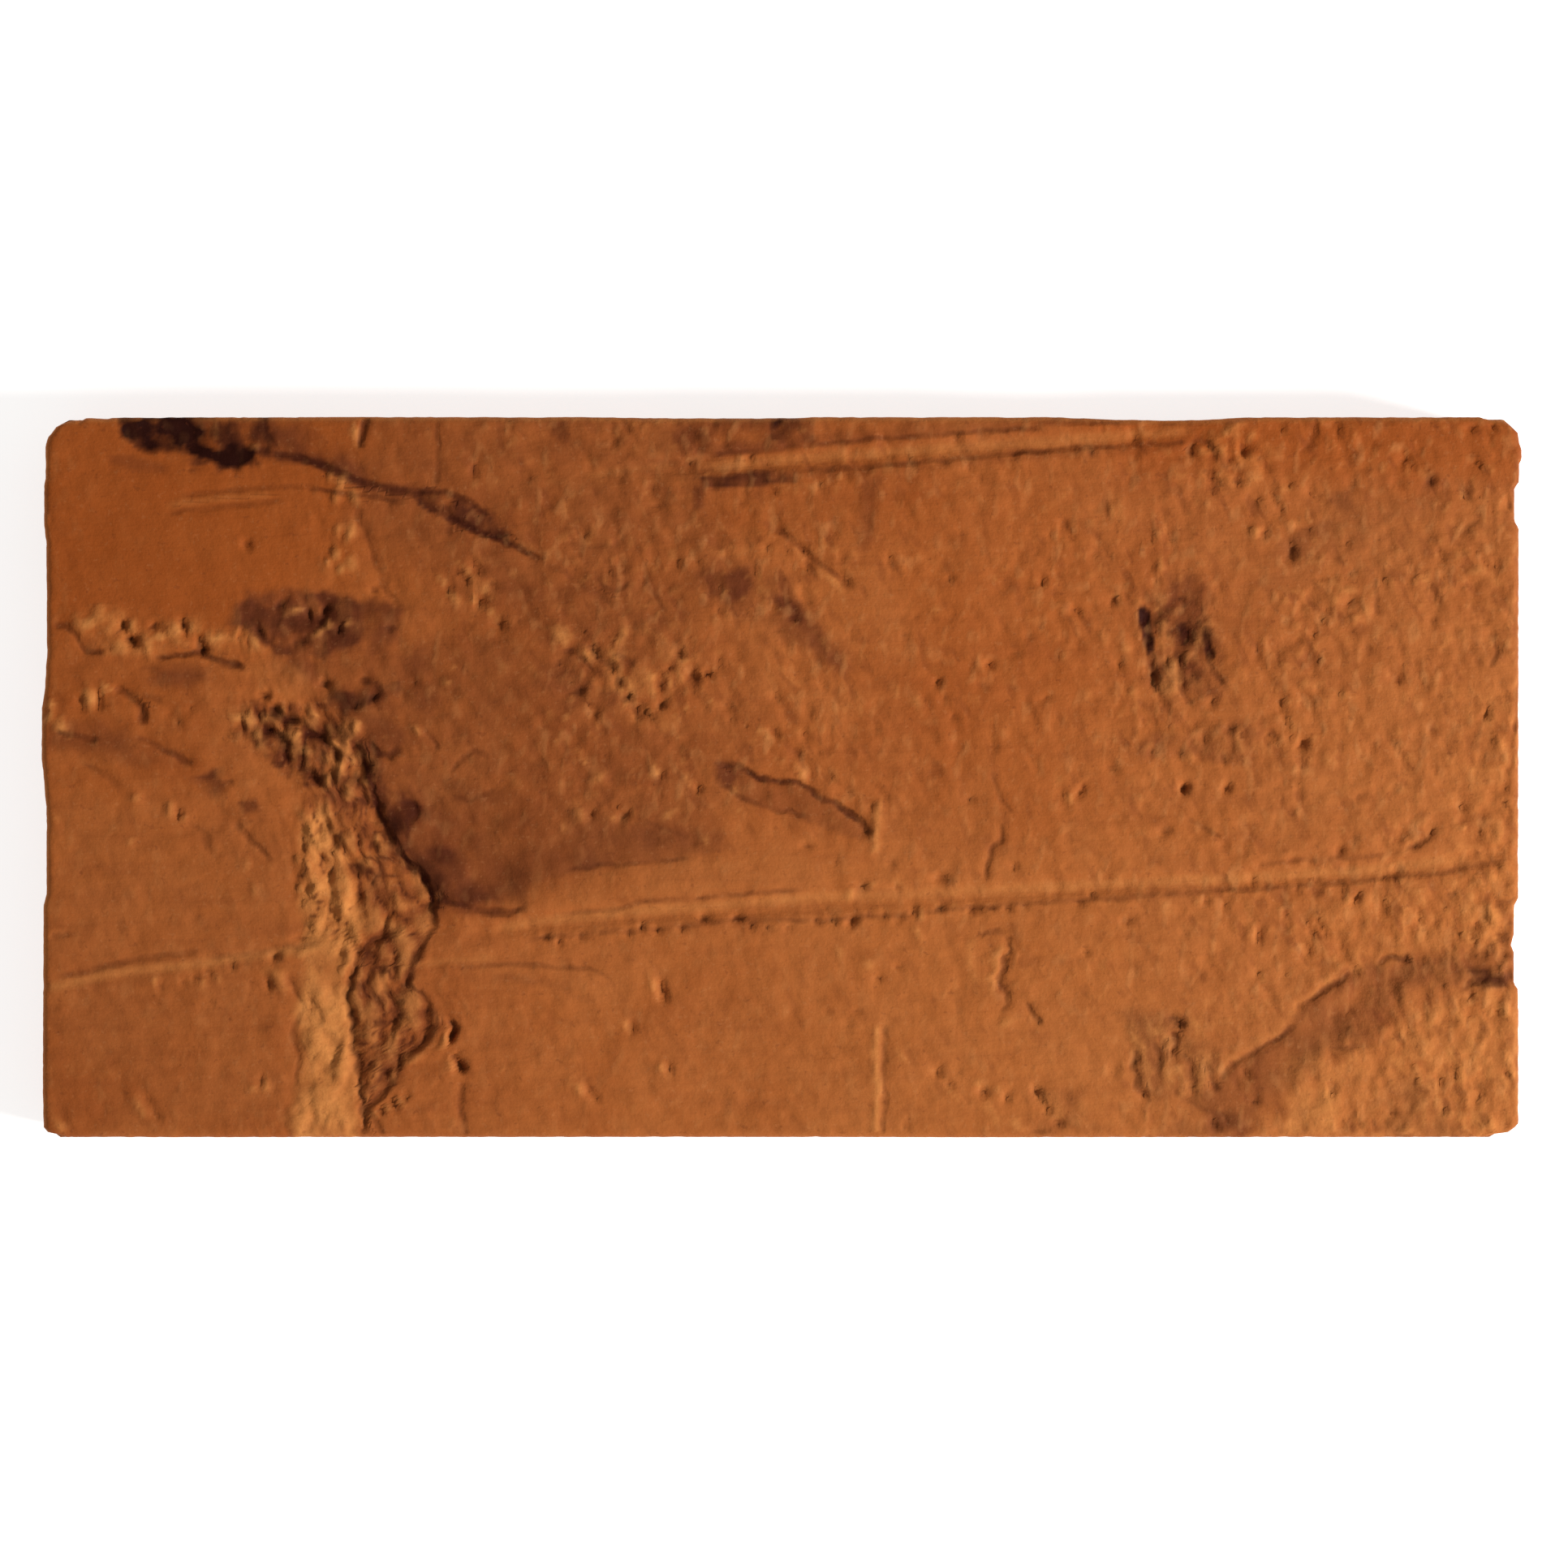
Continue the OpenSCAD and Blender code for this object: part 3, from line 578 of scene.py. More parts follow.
# --- the torn fold -------------------------------------------------------------
patch([(300, 872), (345, 865), (390, 870), (440, 885), (462, 940), (470, 990), (440, 1000), (400, 985), (360, 960),
       (320, 930), (290, 900)], rough=0.9, stain_and_shade=0.62, soft=2, waver=1.2, wave=4, mottle=0.4, mottle_wave=2.5)
patch([(372, 990), (400, 985), (440, 1010), (470, 1060), (500, 1100), (505, 1150), (470, 1170), (430, 1160),
       (400, 1150), (375, 1120), (368, 1060)], rough=0.8, soft=2, waver=1.2, wave=4)
patch([(440, 985), (462, 990), (480, 1030), (500, 1062), (528, 1092), (532, 1140), (508, 1186), (505, 1214), (530, 1240),
       (536, 1260), (500, 1298), (480, 1340), (450, 1362), (440, 1280), (430, 1220), (440, 1150), (430, 1060)], rough=0.75,
      soft=1.2, waver=0.8, wave=4)
patch([(372, 1010), (400, 1000), (418, 1040), (436, 1090), (440, 1150), (428, 1200), (432, 1260), (438, 1320),
       (438, 1402), (360, 1402), (366, 1360), (372, 1300), (366, 1240), (372, 1180), (378, 1110)], pale=0.62,
      rough=0.45, soft=2.0, waver=1.2, wave=5, mottle=0.3, mottle_wave=5)
patch([(376, 1000), (418, 1000), (440, 1060), (440, 1150), (376, 1150), (368, 1080)], rough=0.55, soft=1.5, waver=1.0, mottle=0.4)
patch([(440, 1160), (500, 1130), (535, 1150), (510, 1200), (530, 1250), (520, 1290), (480, 1330), (450, 1365),
       (440, 1280)], stain_and_shade=0.3, rough=0.7, soft=1.6, waver=1.0, wave=4, mottle=0.5)
patch([(300, 862), (345, 862), (392, 880), (440, 905), (448, 950), (440, 985), (400, 975), (360, 955), (325, 925)],
      soot=0.28, soft=1.5, waver=1.0, wave=3, mottle=1.1,
      mottle_wave=2.4)
patch([(376, 1225), (430, 1215), (436, 1300), (438, 1402), (362, 1402), (372, 1300)], pale=0.25, soft=2, waver=1, mottle=0.2)
patch([(444, 990), (470, 1020), (500, 1062), (526, 1092), (530, 1140), (506, 1186), (505, 1214), (530, 1240), (532, 1262),
       (498, 1298), (480, 1338), (450, 1360), (440, 1280), (432, 1220), (444, 1150), (440, 1060)], stain_and_shade=0.42, soot=0.06,
      soft=1.6, waver=1.0, mottle=0.6, mottle_wave=3)
patch([(376, 985), (440, 985), (440, 1040), (400, 1060), (372, 1030)], stain_and_shade=0.3, soft=2, waver=1.2, mottle=0.6)
C1 = [(438, 900), (448, 941), (460, 979), (480, 1032), (506, 1066), (531, 1092), (536, 1142)]
C1B = [(536, 1138), (524, 1158), (508, 1184), (503, 1214), (524, 1232), (539, 1260), (524, 1281), (495, 1302),
       (486, 1327), (468, 1351), (450, 1367)]
C2 = [(446, 1157), (438, 1190), (427, 1221), (434, 1258), (440, 1310), (447, 1358), (451, 1400)]
# the dark band right of the crack and the dark line in it: painted shadow of the fold's torn wall, with stain
shade(C1, 3.2, stain_and_shade=0.7, soot=0.34, waver=0.5, ends=0.15)
stroke(C1, 2.6, depth=0.05, stain_and_shade=0.45, waver=0.5, ends=0.1)
stroke(C1, 1.1, depth=0.02, soot=0.85, waver=0.5, ends=0.08, wave=1.8)
stroke(C1B, 2.4, depth=0.05, stain_and_shade=0.3, waver=0.5)
stroke(C1B, 0.8, depth=0.06, soot=0.36, waver=0.5, ends=0.06, wave=1.8)
stroke(C2, 1.0, depth=0.3, soot=0.62, waver=0.6, ends=0.06, wave=2.0)
stroke([(535, 1104), (556, 1112), (580, 1119), (610, 1126), (650, 1120)], 0.9, depth=0.2, soot=0.5, waver=0.3)
pits([(470, 1370, 0.8, 0.34, 132, 0.3), (486, 1361, 0.8, 0.34, 132, 0.3), (500, 1352, 0.7, 0.34, 132, 0.3)], soot=0.5)
pits([(461, 1374, 0.8, 0.3, 132, -0.2), (477, 1366, 0.8, 0.3, 132, -0.2), (493, 1357, 0.8, 0.3, 132, -0.2)], pale=0.5)
stroke([(553, 1256), (561, 1271), (552, 1283)], 1.1, depth=0.35, soot=0.55, waver=0.15)
stroke([(555, 1299), (564, 1308), (573, 1320)], 1.1, depth=0.35, soot=0.55, waver=0.15)
stroke([(567, 1330), (569, 1368), (573, 1402)], 0.9, depth=0.15, soot=0.28, waver=0.2)
stroke([(536, 1142), (530, 1120), (545, 1098)], 0.6, depth=0.2, soot=0.4, waver=0.3)
stroke([(485, 1120), (470, 1150), (455, 1165)], 0.6, depth=0.25, soot=0.3, waver=0.4)
stroke([(448, 1160), (465, 1195), (478, 1225)], 0.5, depth=0.2, soot=0.3, waver=0.4)
stroke([(470, 1215), (486, 1240), (500, 1230)], 0.5, depth=0.25, soot=0.3, waver=0.4)
stroke([(490, 1245), (482, 1290), (490, 1310)], 0.5, depth=0.2, soot=0.28, waver=0.4)
stroke([(405, 1065), (408, 1100), (405, 1140)], 0.5, depth=0.25, soot=0.2, waver=0.4)
stroke([(395, 985), (400, 1010), (408, 1030), (420, 1050)], 0.6, depth=0.3, soot=0.4, waver=0.4)
stroke([(356, 1197), (370, 1239), (362, 1274), (368, 1310), (362, 1350)], 0.5, depth=0.2, soot=0.22, waver=0.5, broken=0.2)
stroke([(376, 1228), (390, 1245), (402, 1262)], 0.5, depth=0.2, soot=0.25, waver=0.4)
stroke([(450, 1365), (462, 1382), (470, 1400)], 0.6, depth=0.25, soot=0.35, waver=0.3)
stroke([(330, 872), (350, 884), (372, 888)], 1.2, depth=0.35, soot=0.7, waver=0.3)
stroke([(322, 900), (340, 904), (352, 914)], 1.2, depth=0.35, soot=0.7, waver=0.3)
stroke([(372, 902), (396, 910), (412, 922), (420, 940)], 1.1, depth=0.35, soot=0.7, waver=0.3)
stroke([(366, 944), (384, 952), (396, 968)], 1.2, depth=0.35, soot=0.65, waver=0.3)
pits([(338, 875, 0.8, 0.6, 0, 0.4), (356, 888, 0.8, 0.5, 20, 0.4), (331, 899, 0.9, 0.4, 10, 0.35),
      (326, 857, 0.9, 0.6, 10, 0.4), (401, 843, 0.8, 0.7, 0, 0.4), (449, 837, 0.8, 0.6, 0, 0.3),
      (417, 776, 0.7, 0.55, 90, 0.45), (400, 752, 0.7, 0.5, 60, 0.4), (380, 757, 0.8, 0.4, 100, 0.35),
      (372, 790, 0.9, 0.6, 0, 0.3), (320, 780, 1.2, 0.5, 130, 0.3), (480, 775, 0.7, 0.35, 170, 0.25),
      (461, 727, 0.6, 0.5, 90, 0.3), (345, 745, 0.9, 0.5, 30, 0.25), (441, 868, 0.9, 0.4, 60, 0.35),
      (462, 858, 0.9, 0.4, 30, 0.3)], soot=0.7)
pits([(292, 884, 0.8, 0.5, 20, -0.3), (306, 886, 0.7, 0.6, 90, -0.35), (327, 884, 0.6, 0.45, 90, -0.3),
      (316, 905, 0.6, 0.4, 60, -0.25), (377, 925, 1.2, 0.5, 170, -0.35), (401, 934, 0.9, 0.5, 120, -0.35),
      (420, 945, 1.0, 0.5, 100, -0.3), (439, 893, 0.7, 0.4, 90, -0.3), (363, 752, 0.9, 0.5, 20, -0.3),
      (392, 780, 0.9, 0.5, 40, -0.3), (405, 770, 0.6, 0.5, 90, -0.35), (428, 768, 0.5, 0.4, 90, -0.3),
      (452, 962, 0.6, 0.6, 0, -0.3), (366, 905, 0.8, 0.4, 30, -0.25), (388, 880, 0.7, 0.4, 150, -0.25),
      (352, 905, 0.9, 0.4, 160, -0.3), (404, 962, 0.9, 0.6, 60, -0.3), (430, 975, 0.8, 0.6, 90, -0.3),
      (412, 916, 0.8, 0.4, 130, -0.3), (432, 932, 0.9, 0.4, 110, -0.3)], pale=0.8)
stroke([(342, 1172), (380, 1167), (420, 1160)], 1.5, pale=0.35, depth=-0.12, waver=0.3)
pits([(389, 1011, 0.7, 0.4, 80, -0.3), (384, 1026, 0.6, 0.4, 100, -0.3), (394, 1041, 0.7, 0.4, 70, -0.3),
      (380, 1067, 0.8, 0.4, 110, -0.3), (387, 1082, 0.7, 0.45, 90, -0.35), (370, 1096, 0.5, 0.4, 0, -0.25),
      (386, 1101, 0.7, 0.4, 60, -0.3), (427, 1100, 0.8, 0.4, 90, -0.3), (430, 1119, 0.8, 0.45, 80, -0.3),
      (380, 1138, 0.6, 0.45, 60, -0.3), (392, 1143, 0.6, 0.4, 120, -0.3), (406, 1148, 0.7, 0.4, 90, -0.3),
      (417, 1162, 0.7, 0.4, 100, -0.3), (455, 1063, 0.7, 0.4, 110, -0.3), (464, 1034, 0.7, 0.4, 100, -0.3),
      (370, 1177, 0.7, 0.4, 30, -0.25), (413, 1172, 0.8, 0.4, 90, -0.3), (422, 1196, 0.8, 0.4, 90, -0.3)], pale=0.75, grow=1.3)
pits([(398, 1058, 0.8, 0.35, 110, 0.3), (403, 1087, 0.9, 0.35, 90, 0.3), (414, 1129, 0.9, 0.35, 80, 0.3),
      (446, 1105, 0.9, 0.4, 120, 0.3), (441, 1077, 0.8, 0.35, 110, 0.3), (372, 1112, 0.6, 0.35, 90, 0.25)], soot=0.3, grow=1.3)
pits([(377, 1070, 1.9, 0.8, 95, -0.45), (391, 1105, 2.2, 0.8, 92, -0.5), (422, 1112, 2.4, 0.7, 88, -0.4),
      (384, 1030, 1.3, 0.6, 80, -0.35), (372, 1005, 0.9, 0.6, 100, -0.3), (398, 1228, 2.2, 1.0, 95, -0.35),
      (388, 1285, 1.8, 1.2, 90, -0.35), (424, 1300, 2.4, 0.7, 90, -0.35), (401, 1352, 2.2, 1.4, 90, -0.35),
      (366, 1380, 1.6, 1.3, 30, -0.35), (430, 1180, 1.8, 0.6, 100, -0.35), (447, 1064, 1.3, 0.8, 60, -0.3),
      (470, 1045, 1.2, 0.7, 90, -0.25), (425, 1035, 1.0, 0.6, 120, -0.3), (460, 1270, 2.3, 0.7, 85, -0.3),
      (463, 1320, 1.6, 0.7, 80, -0.3), (500, 1262, 1.4, 0.8, 60, -0.3), (492, 1150, 1.2, 1.0, 0, -0.25),
      (512, 1304, 1.2, 0.6, 30, -0.25), (474, 1200, 1.4, 0.6, 60, -0.25)], pale=0.4)
pits([(407, 585, 0.8, 0.4, 90, -0.25), (415, 611, 1.1, 0.45, 80, -0.3), (417, 652, 0.9, 0.5, 80, -0.3),
      (414, 682, 0.9, 0.45, 100, -0.3), (404, 694, 0.6, 0.4, 120, -0.25), (245, 529, 0.9, 0.5, 90, -0.2),
      (315, 551, 0.7, 0.45, 30, -0.25)], pale=0.5)

# --- upper middle ----------------------------------------------------------------
stroke([(717, 587), (780, 577), (835, 571)], 0.9, depth=0.06, pale=0.15, waver=0.15)
stroke([(797, 567), (838, 569)], 0.4, depth=0.08, soot=0.22, waver=0.1)
stroke([(850, 578), (920, 571), (1000, 563), (1139, 554), (1300, 543), (1480, 529)], 2.3, pale=0.30, waver=0.1, ends=0.06)
shade([(830, 566), (868, 562), (1000, 549), (1184, 533), (1290, 526), (1390, 519)], 2.4, stain_and_shade=0.30, waver=0.15, ends=0.04)
shade([(980, 581), (1139, 570), (1299, 555), (1470, 546)][::-1], 1.6, stain_and_shade=0.22, waver=0.2, ends=0.05)
stroke([(868, 562), (920, 556), (1000, 549), (1076, 541), (1184, 533), (1290, 526)], 0.6, depth=0.14, soot=0.42, waver=0.12,
       ends=0.05, broken=0.1)
stroke([(980, 580), (1060, 575), (1139, 569), (1222, 561), (1299, 554), (1379, 549), (1470, 545)], 0.6, depth=0.16,
       soot=0.42, waver=0.12, ends=0.04, broken=0.08)
stroke([(1300, 522), (1400, 518), (1470, 519)], 0.8, depth=0.1, soot=0.3, waver=0.1)
pits([(849, 569, 0.5, 0.5, 0, 0.3), (803, 599, 0.45, 0.45, 0, 0.2), (808, 624, 0.4, 1.0, 90, 0.15), (584, 577, 0.7, 0.35, 90, 0.2),
      (1178, 538, 0.55, 0.45, 90, 0.3), (1009, 596, 0.8, 0.4, 100, 0.3), (1343, 557, 0.5, 0.5, 0, 0.2),
      (1283, 541, 0.4, 0.3, 90, 0.15), (926, 562, 0.5, 0.35, 20, 0.15), (954, 604, 0.9, 0.45, 140, 0.25),
      (886, 753, 0.5, 0.4, 150, 0.25)], soot=0.5)
stroke([(691, 669), (723, 675), (755, 672), (776, 655)], 0.5, depth=0.07, soot=0.18, waver=0.2)
stroke([(736, 720), (755, 728), (776, 719)], 0.45, depth=0.08, soot=0.28, waver=0.15)
stroke([(600, 655), (660, 645), (720, 655)], 0.5, depth=0.05, soot=0.1, waver=0.3)
stroke([(797, 690), (793, 720), (809, 736), (822, 758)], 0.55, depth=0.16, soot=0.25, waver=0.25)
stroke([(945, 646), (960, 655), (985, 674), (1009, 695), (1034, 712), (1046, 728)], 0.9, depth=0.34, soot=0.3, waver=0.2)
pits([(1043, 716, 1.3, 0.5, 125, 0.35)], soot=0.4)
pits([(1026, 716, 1.5, 0.5, 132, -0.3)], pale=0.6)
pits([(585, 697, 0.8, 0.4, 120, 0.35), (605, 719, 0.7, 0.4, 130, 0.35), (553, 728, 0.7, 0.35, 110, 0.3),
      (574, 717, 0.6, 0.35, 120, 0.3), (592, 745, 1.2, 0.5, 105, 0.45), (566, 706, 0.9, 0.35, 130, 0.3), (615, 768, 1.2, 0.55, 130, 0.5),
      (640, 766, 0.5, 0.3, 120, 0.2), (660, 772, 0.5, 0.3, 120, 0.2)], soot=0.5)
pits([(690, 786, 1.1, 0.6, 130, -0.3), (768, 780, 0.8, 0.5, 90, -0.3), (585, 740, 0.9, 0.4, 110, -0.25),
      (577, 705, 1.0, 0.35, 130, -0.3), (762, 792, 0.7, 0.4, 60, -0.25), (598, 728, 0.9, 0.35, 120, -0.3),
      (560, 738, 1.1, 0.35, 125, -0.3), (606, 756, 1.0, 0.35, 125, -0.3), (545, 716, 1.0, 0.35, 125, -0.25)], pale=0.6)
stroke([(700, 797), (718, 812), (732, 826)], 0.5, depth=0.2, soot=0.3, waver=0.3)
stroke([(752, 806), (770, 812), (783, 824)], 0.6, depth=0.2, soot=0.4, waver=0.3)
patch([(690, 800), (730, 795), (780, 812), (795, 850), (750, 862), (700, 868), (672, 845)], stain_and_shade=0.30, soft=2.2, waver=1.6,
      wave=4, mottle=0.8, mottle_wave=3)
patch([(688, 776), (760, 770), (850, 790), (880, 830), (870, 880), (790, 892), (730, 870), (695, 850)], rough=0.42, soft=2.2,
      waver=1.5, wave=5, mottle=0.5)
patch([(560, 690), (600, 690), (640, 760), (620, 780), (580, 750)], rough=0.3, soft=1.6, waver=1.0)
pits([(720, 777, 0.7, 0.3, 130, 0.3), (706, 842, 0.9, 0.4, 125, 0.35), (775, 856, 0.9, 0.35, 125, 0.35),
      (872, 830, 0.7, 0.35, 140, 0.3), (918, 892, 0.8, 0.3, 130, 0.25), (748, 934, 0.6, 0.3, 120, 0.25),
      (798, 879, 0.9, 0.4, 125, 0.35), (690, 818, 0.9, 0.4, 130, 0.3), (724, 866, 0.8, 0.35, 130, 0.3)], soot=0.6, grow=1.2)
pits([(766, 782, 0.9, 0.35, 110, -0.3), (877, 865, 0.8, 0.3, 120, -0.25), (706, 865, 0.8, 0.35, 120, -0.25),
      (771, 866, 0.8, 0.3, 120, -0.3), (697, 883, 0.7, 0.3, 110, -0.2), (688, 915, 0.7, 0.35, 100, -0.25),
      (720, 939, 0.8, 0.3, 120, -0.25), (808, 948, 0.9, 0.35, 115, -0.3), (937, 902, 0.8, 0.3, 110, -0.3),
      (983, 948, 1.0, 0.3, 100, -0.25), (846, 872, 0.8, 0.3, 125, -0.25)], pale=0.6, grow=1.2)
pits([(736, 808, 1.5, 0.55, 132, 0.45), (752, 820, 1.1, 0.5, 130, 0.4), (700, 802, 0.9, 0.5, 20, 0.3),
      (715, 852, 1.0, 0.6, 20, 0.3), (770, 862, 0.7, 0.6, 60, 0.35), (784, 878, 1.0, 0.5, 130, 0.4),
      (762, 838, 0.8, 0.5, 100, 0.3), (812, 870, 0.6, 0.5, 0, 0.3)], soot=0.75)
pits([(724, 806, 1.1, 0.5, 130, -0.3), (758, 806, 0.8, 0.4, 120, -0.25), (776, 846, 1.0, 0.4, 110, -0.3),
      (800, 836, 0.9, 0.4, 80, -0.3), (826, 842, 0.8, 0.4, 110, -0.3), (694, 780, 1.2, 0.7, 130, -0.3)], pale=0.7)
pits([(838, 806, 0.8, 0.6, 0, 0.45), (853, 832, 1.2, 0.6, 100, 0.5), (814, 846, 1.1, 0.45, 110, 0.4),
      (826, 822, 0.5, 0.4, 0, 0.3), (870, 832, 0.4, 0.35, 0, 0.2), (818, 866, 0.7, 0.4, 60, 0.3)], soot=0.5)
pits([(838, 832, 1.0, 0.4, 110, -0.35), (803, 852, 1.0, 0.4, 110, -0.3), (846, 815, 0.5, 0.4, 0, -0.25)], pale=0.55)
pits([(510, 841, 0.5, 0.4, 0, 0.25), (953, 900, 1.0, 0.45, 130, 0.45), (900, 886, 0.6, 0.4, 120, 0.25),
      (959, 777, 0.8, 0.35, 20, 0.2), (975, 762, 0.9, 0.4, 140, 0.25), (784, 872, 0.8, 0.5, 20, 0.25),
      (654, 894, 0.7, 0.5, 30, -0.2)], soot=0.35)
pits([(944, 905, 0.9, 0.5, 110, -0.3), (551, 841, 0.7, 0.45, 150, -0.25), (514, 899, 0.9, 0.45, 130, -0.3)], pale=0.5)
stroke([(522, 898), (532, 910), (540, 924)], 0.5, depth=0.25, soot=0.35, waver=0.2)
stroke([(555, 952), (562, 940), (584, 925), (596, 930)], 0.55, depth=0.2, soot=0.32, waver=0.25)
stroke([(556, 980), (580, 985), (610, 975)], 0.45, depth=0.12, soot=0.2, waver=0.25)
pits([(728, 1004, 0.8, 0.5, 80, 0.35), (768, 1004, 0.9, 0.6, 50, 0.4), (760, 993, 0.6, 0.35, 120, 0.3),
      (814, 955, 0.8, 0.4, 110, 0.35), (861, 972, 0.7, 0.45, 110, 0.35), (806, 966, 0.5, 0.35, 30, 0.2),
      (808, 1036, 0.4, 0.5, 0, 0.2), (852, 1041, 0.5, 0.7, 90, 0.25), (700, 998, 0.5, 0.35, 120, 0.2)], soot=0.4)
pits([(714, 1004, 0.9, 0.6, 110, -0.25), (756, 1008, 0.6, 0.4, 120, -0.25), (823, 1004, 0.8, 0.5, 40, -0.25),
      (847, 960, 1.3, 0.4, 120, -0.3), (804, 955, 0.6, 0.5, 0, -0.25), (736, 960, 0.9, 0.6, 20, -0.2)], pale=0.45)
stroke([(790, 1010), (820, 1020), (850, 1034)], 0.5, depth=0.12, soot=0.2, waver=0.2)

# --- the flake in the middle -------------------------------------------------------
patch([(882, 940), (903, 941), (938, 957), (981, 966), (1015, 982), (1050, 1003), (1074, 1026), (1060, 1036),
       (1020, 1022), (960, 1000), (921, 988), (893, 969), (880, 952)], stain_and_shade=0.42, soft=0.7, waver=0.25, depth=0.3, dsoft=0.7)
patch([(878, 938), (900, 938), (912, 952), (900, 972), (884, 962)], stain_and_shade=0.7, soot=0.15, soft=0.8, waver=0.4)
stroke([(880, 946), (886, 938), (903, 941), (921, 951), (938, 958), (960, 962), (981, 966), (1015, 983), (1050, 1004),
        (1075, 1030)], 0.8, depth=0.2, soot=0.72, waver=0.35, wave=2.2, ends=0.05)
stroke([(879, 948), (882, 960), (893, 970), (921, 988), (956, 998), (1000, 1007)], 0.6,
       depth=0.05, soot=0.3, waver=0.4, wave=2.2, ends=0.12)
pits([(905, 975, 0.6, 0.4, 20, -0.15), (1082, 1000, 1.6, 0.4, 85, -0.3), (1080, 1024, 1.4, 0.45, 75, -0.35),
      (1078, 1044, 0.8, 0.5, 60, -0.3), (988, 955, 1.2, 0.4, 100, -0.25)], pale=0.6)

# --- the lower groove's edges ------------------------------------------------------
patch([(650, 1092), (703, 1086), (760, 1070), (850, 1060), (950, 1052), (1060, 1060), (1060, 1085), (900, 1095),
       (760, 1106), (640, 1128), (620, 1118)], pale=0.05, soft=1.4, waver=0.5, depth=-0.12, dsoft=2.0)
stroke([(600, 1146), (654, 1137), (767, 1123), (851, 1118), (1000, 1106), (1180, 1098), (1340, 1090), (1510, 1082),
        (1685, 1072), (1815, 1056)], 2.1, pale=0.34, waver=0.1, ends=0.03)
stroke([(598, 1121), (651, 1123)], 0.6, depth=0.12, soot=0.45, waver=0.15)
stroke([(668, 1130), (720, 1124), (760, 1119), (795, 1111), (861, 1106), (930, 1100), (1000, 1096)], 0.5, depth=0.1, soot=0.3,
       waver=0.15, broken=0.2)
stroke([(690, 1072), (763, 1064), (830, 1060), (860, 1056)], 0.5, depth=0.1, soot=0.35, waver=0.12)
pits([(672, 1155, 0.45, 0.4, 0, 0.3), (689, 1160, 0.6, 0.35, 110, 0.3), (717, 1153, 0.5, 0.4, 0, 0.3),
      (740, 1149, 0.3, 0.6, 90, 0.15), (774, 1149, 0.4, 0.5, 0, 0.3), (791, 1142, 0.6, 0.45, 90, 0.35),
      (809, 1146, 0.55, 0.45, 90, 0.35), (840, 1144, 0.5, 0.45, 90, 0.35), (867, 1132, 0.6, 0.5, 120, 0.4),
      (907, 1132, 0.65, 0.65, 0, 0.5), (926, 1141, 0.6, 0.35, 100, 0.3), (946, 1143, 0.4, 0.3, 0, 0.2),
      (972, 1144, 0.45, 0.45, 0, 0.3), (1006, 1134, 0.5, 0.4, 110, 0.3), (1026, 1133, 0.8, 0.35, 140, 0.35),
      (1050, 1135, 0.7, 0.6, 0, 0.5), (1072, 1127, 0.4, 0.7, 90, 0.25), (1089, 1127, 0.4, 0.5, 90, 0.3),
      (1108, 1131, 0.5, 0.35, 90, 0.3), (1127, 1124, 0.6, 0.4, 110, 0.35), (1157, 1121, 0.5, 0.5, 0, 0.35),
      (1199, 1120, 0.5, 0.85, 85, 0.5), (1222, 1119, 0.3, 0.6, 90, 0.3), (1242, 1118, 0.5, 0.6, 120, 0.4),
      (1262, 1117, 0.35, 0.4, 0, 0.25), (1330, 1112, 0.4, 0.8, 80, 0.35), (1345, 1103, 0.6, 0.5, 60, 0.35),
      (795, 1110, 0.3, 0.4, 0, 0.15), (863, 1107, 0.4, 0.4, 0, 0.25)], soot=0.62)
stroke([(640, 1158), (720, 1150), (820, 1143), (907, 1133), (1000, 1134), (1100, 1127), (1200, 1118), (1330, 1109),
        (1440, 1101), (1546, 1095), (1634, 1089), (1705, 1082), (1776, 1075), (1832, 1064), (1870, 1055)], 0.6,
       soot=0.26, waver=0.15, ends=0.02, broken=0.15)
stroke([(1546, 1066), (1595, 1061), (1638, 1058), (1709, 1054)], 0.5, depth=0.1, soot=0.22, waver=0.2, broken=0.1)
stroke([(1625, 1061), (1624, 1090)], 0.4, depth=0.08, soot=0.18, waver=0.1)
pits([(1723, 1072, 0.8, 0.4, 120, 0.25), (1552, 1066, 0.5, 0.4, 130, 0.3), (1592, 1060, 0.5, 0.5, 0, 0.3)], soot=0.35)
stroke([(506, 1190), (560, 1184), (620, 1180)], 1.2, pale=0.2, depth=0.05, waver=0.15)
stroke([(553, 1193), (623, 1188), (693, 1192), (725, 1193), (746, 1204), (757, 1220)], 0.5, depth=0.14, soot=0.26, waver=0.2)
stroke([(600, 1202), (680, 1212), (740, 1240)], 0.8, depth=0.08, stain_and_shade=0.2, waver=0.4)

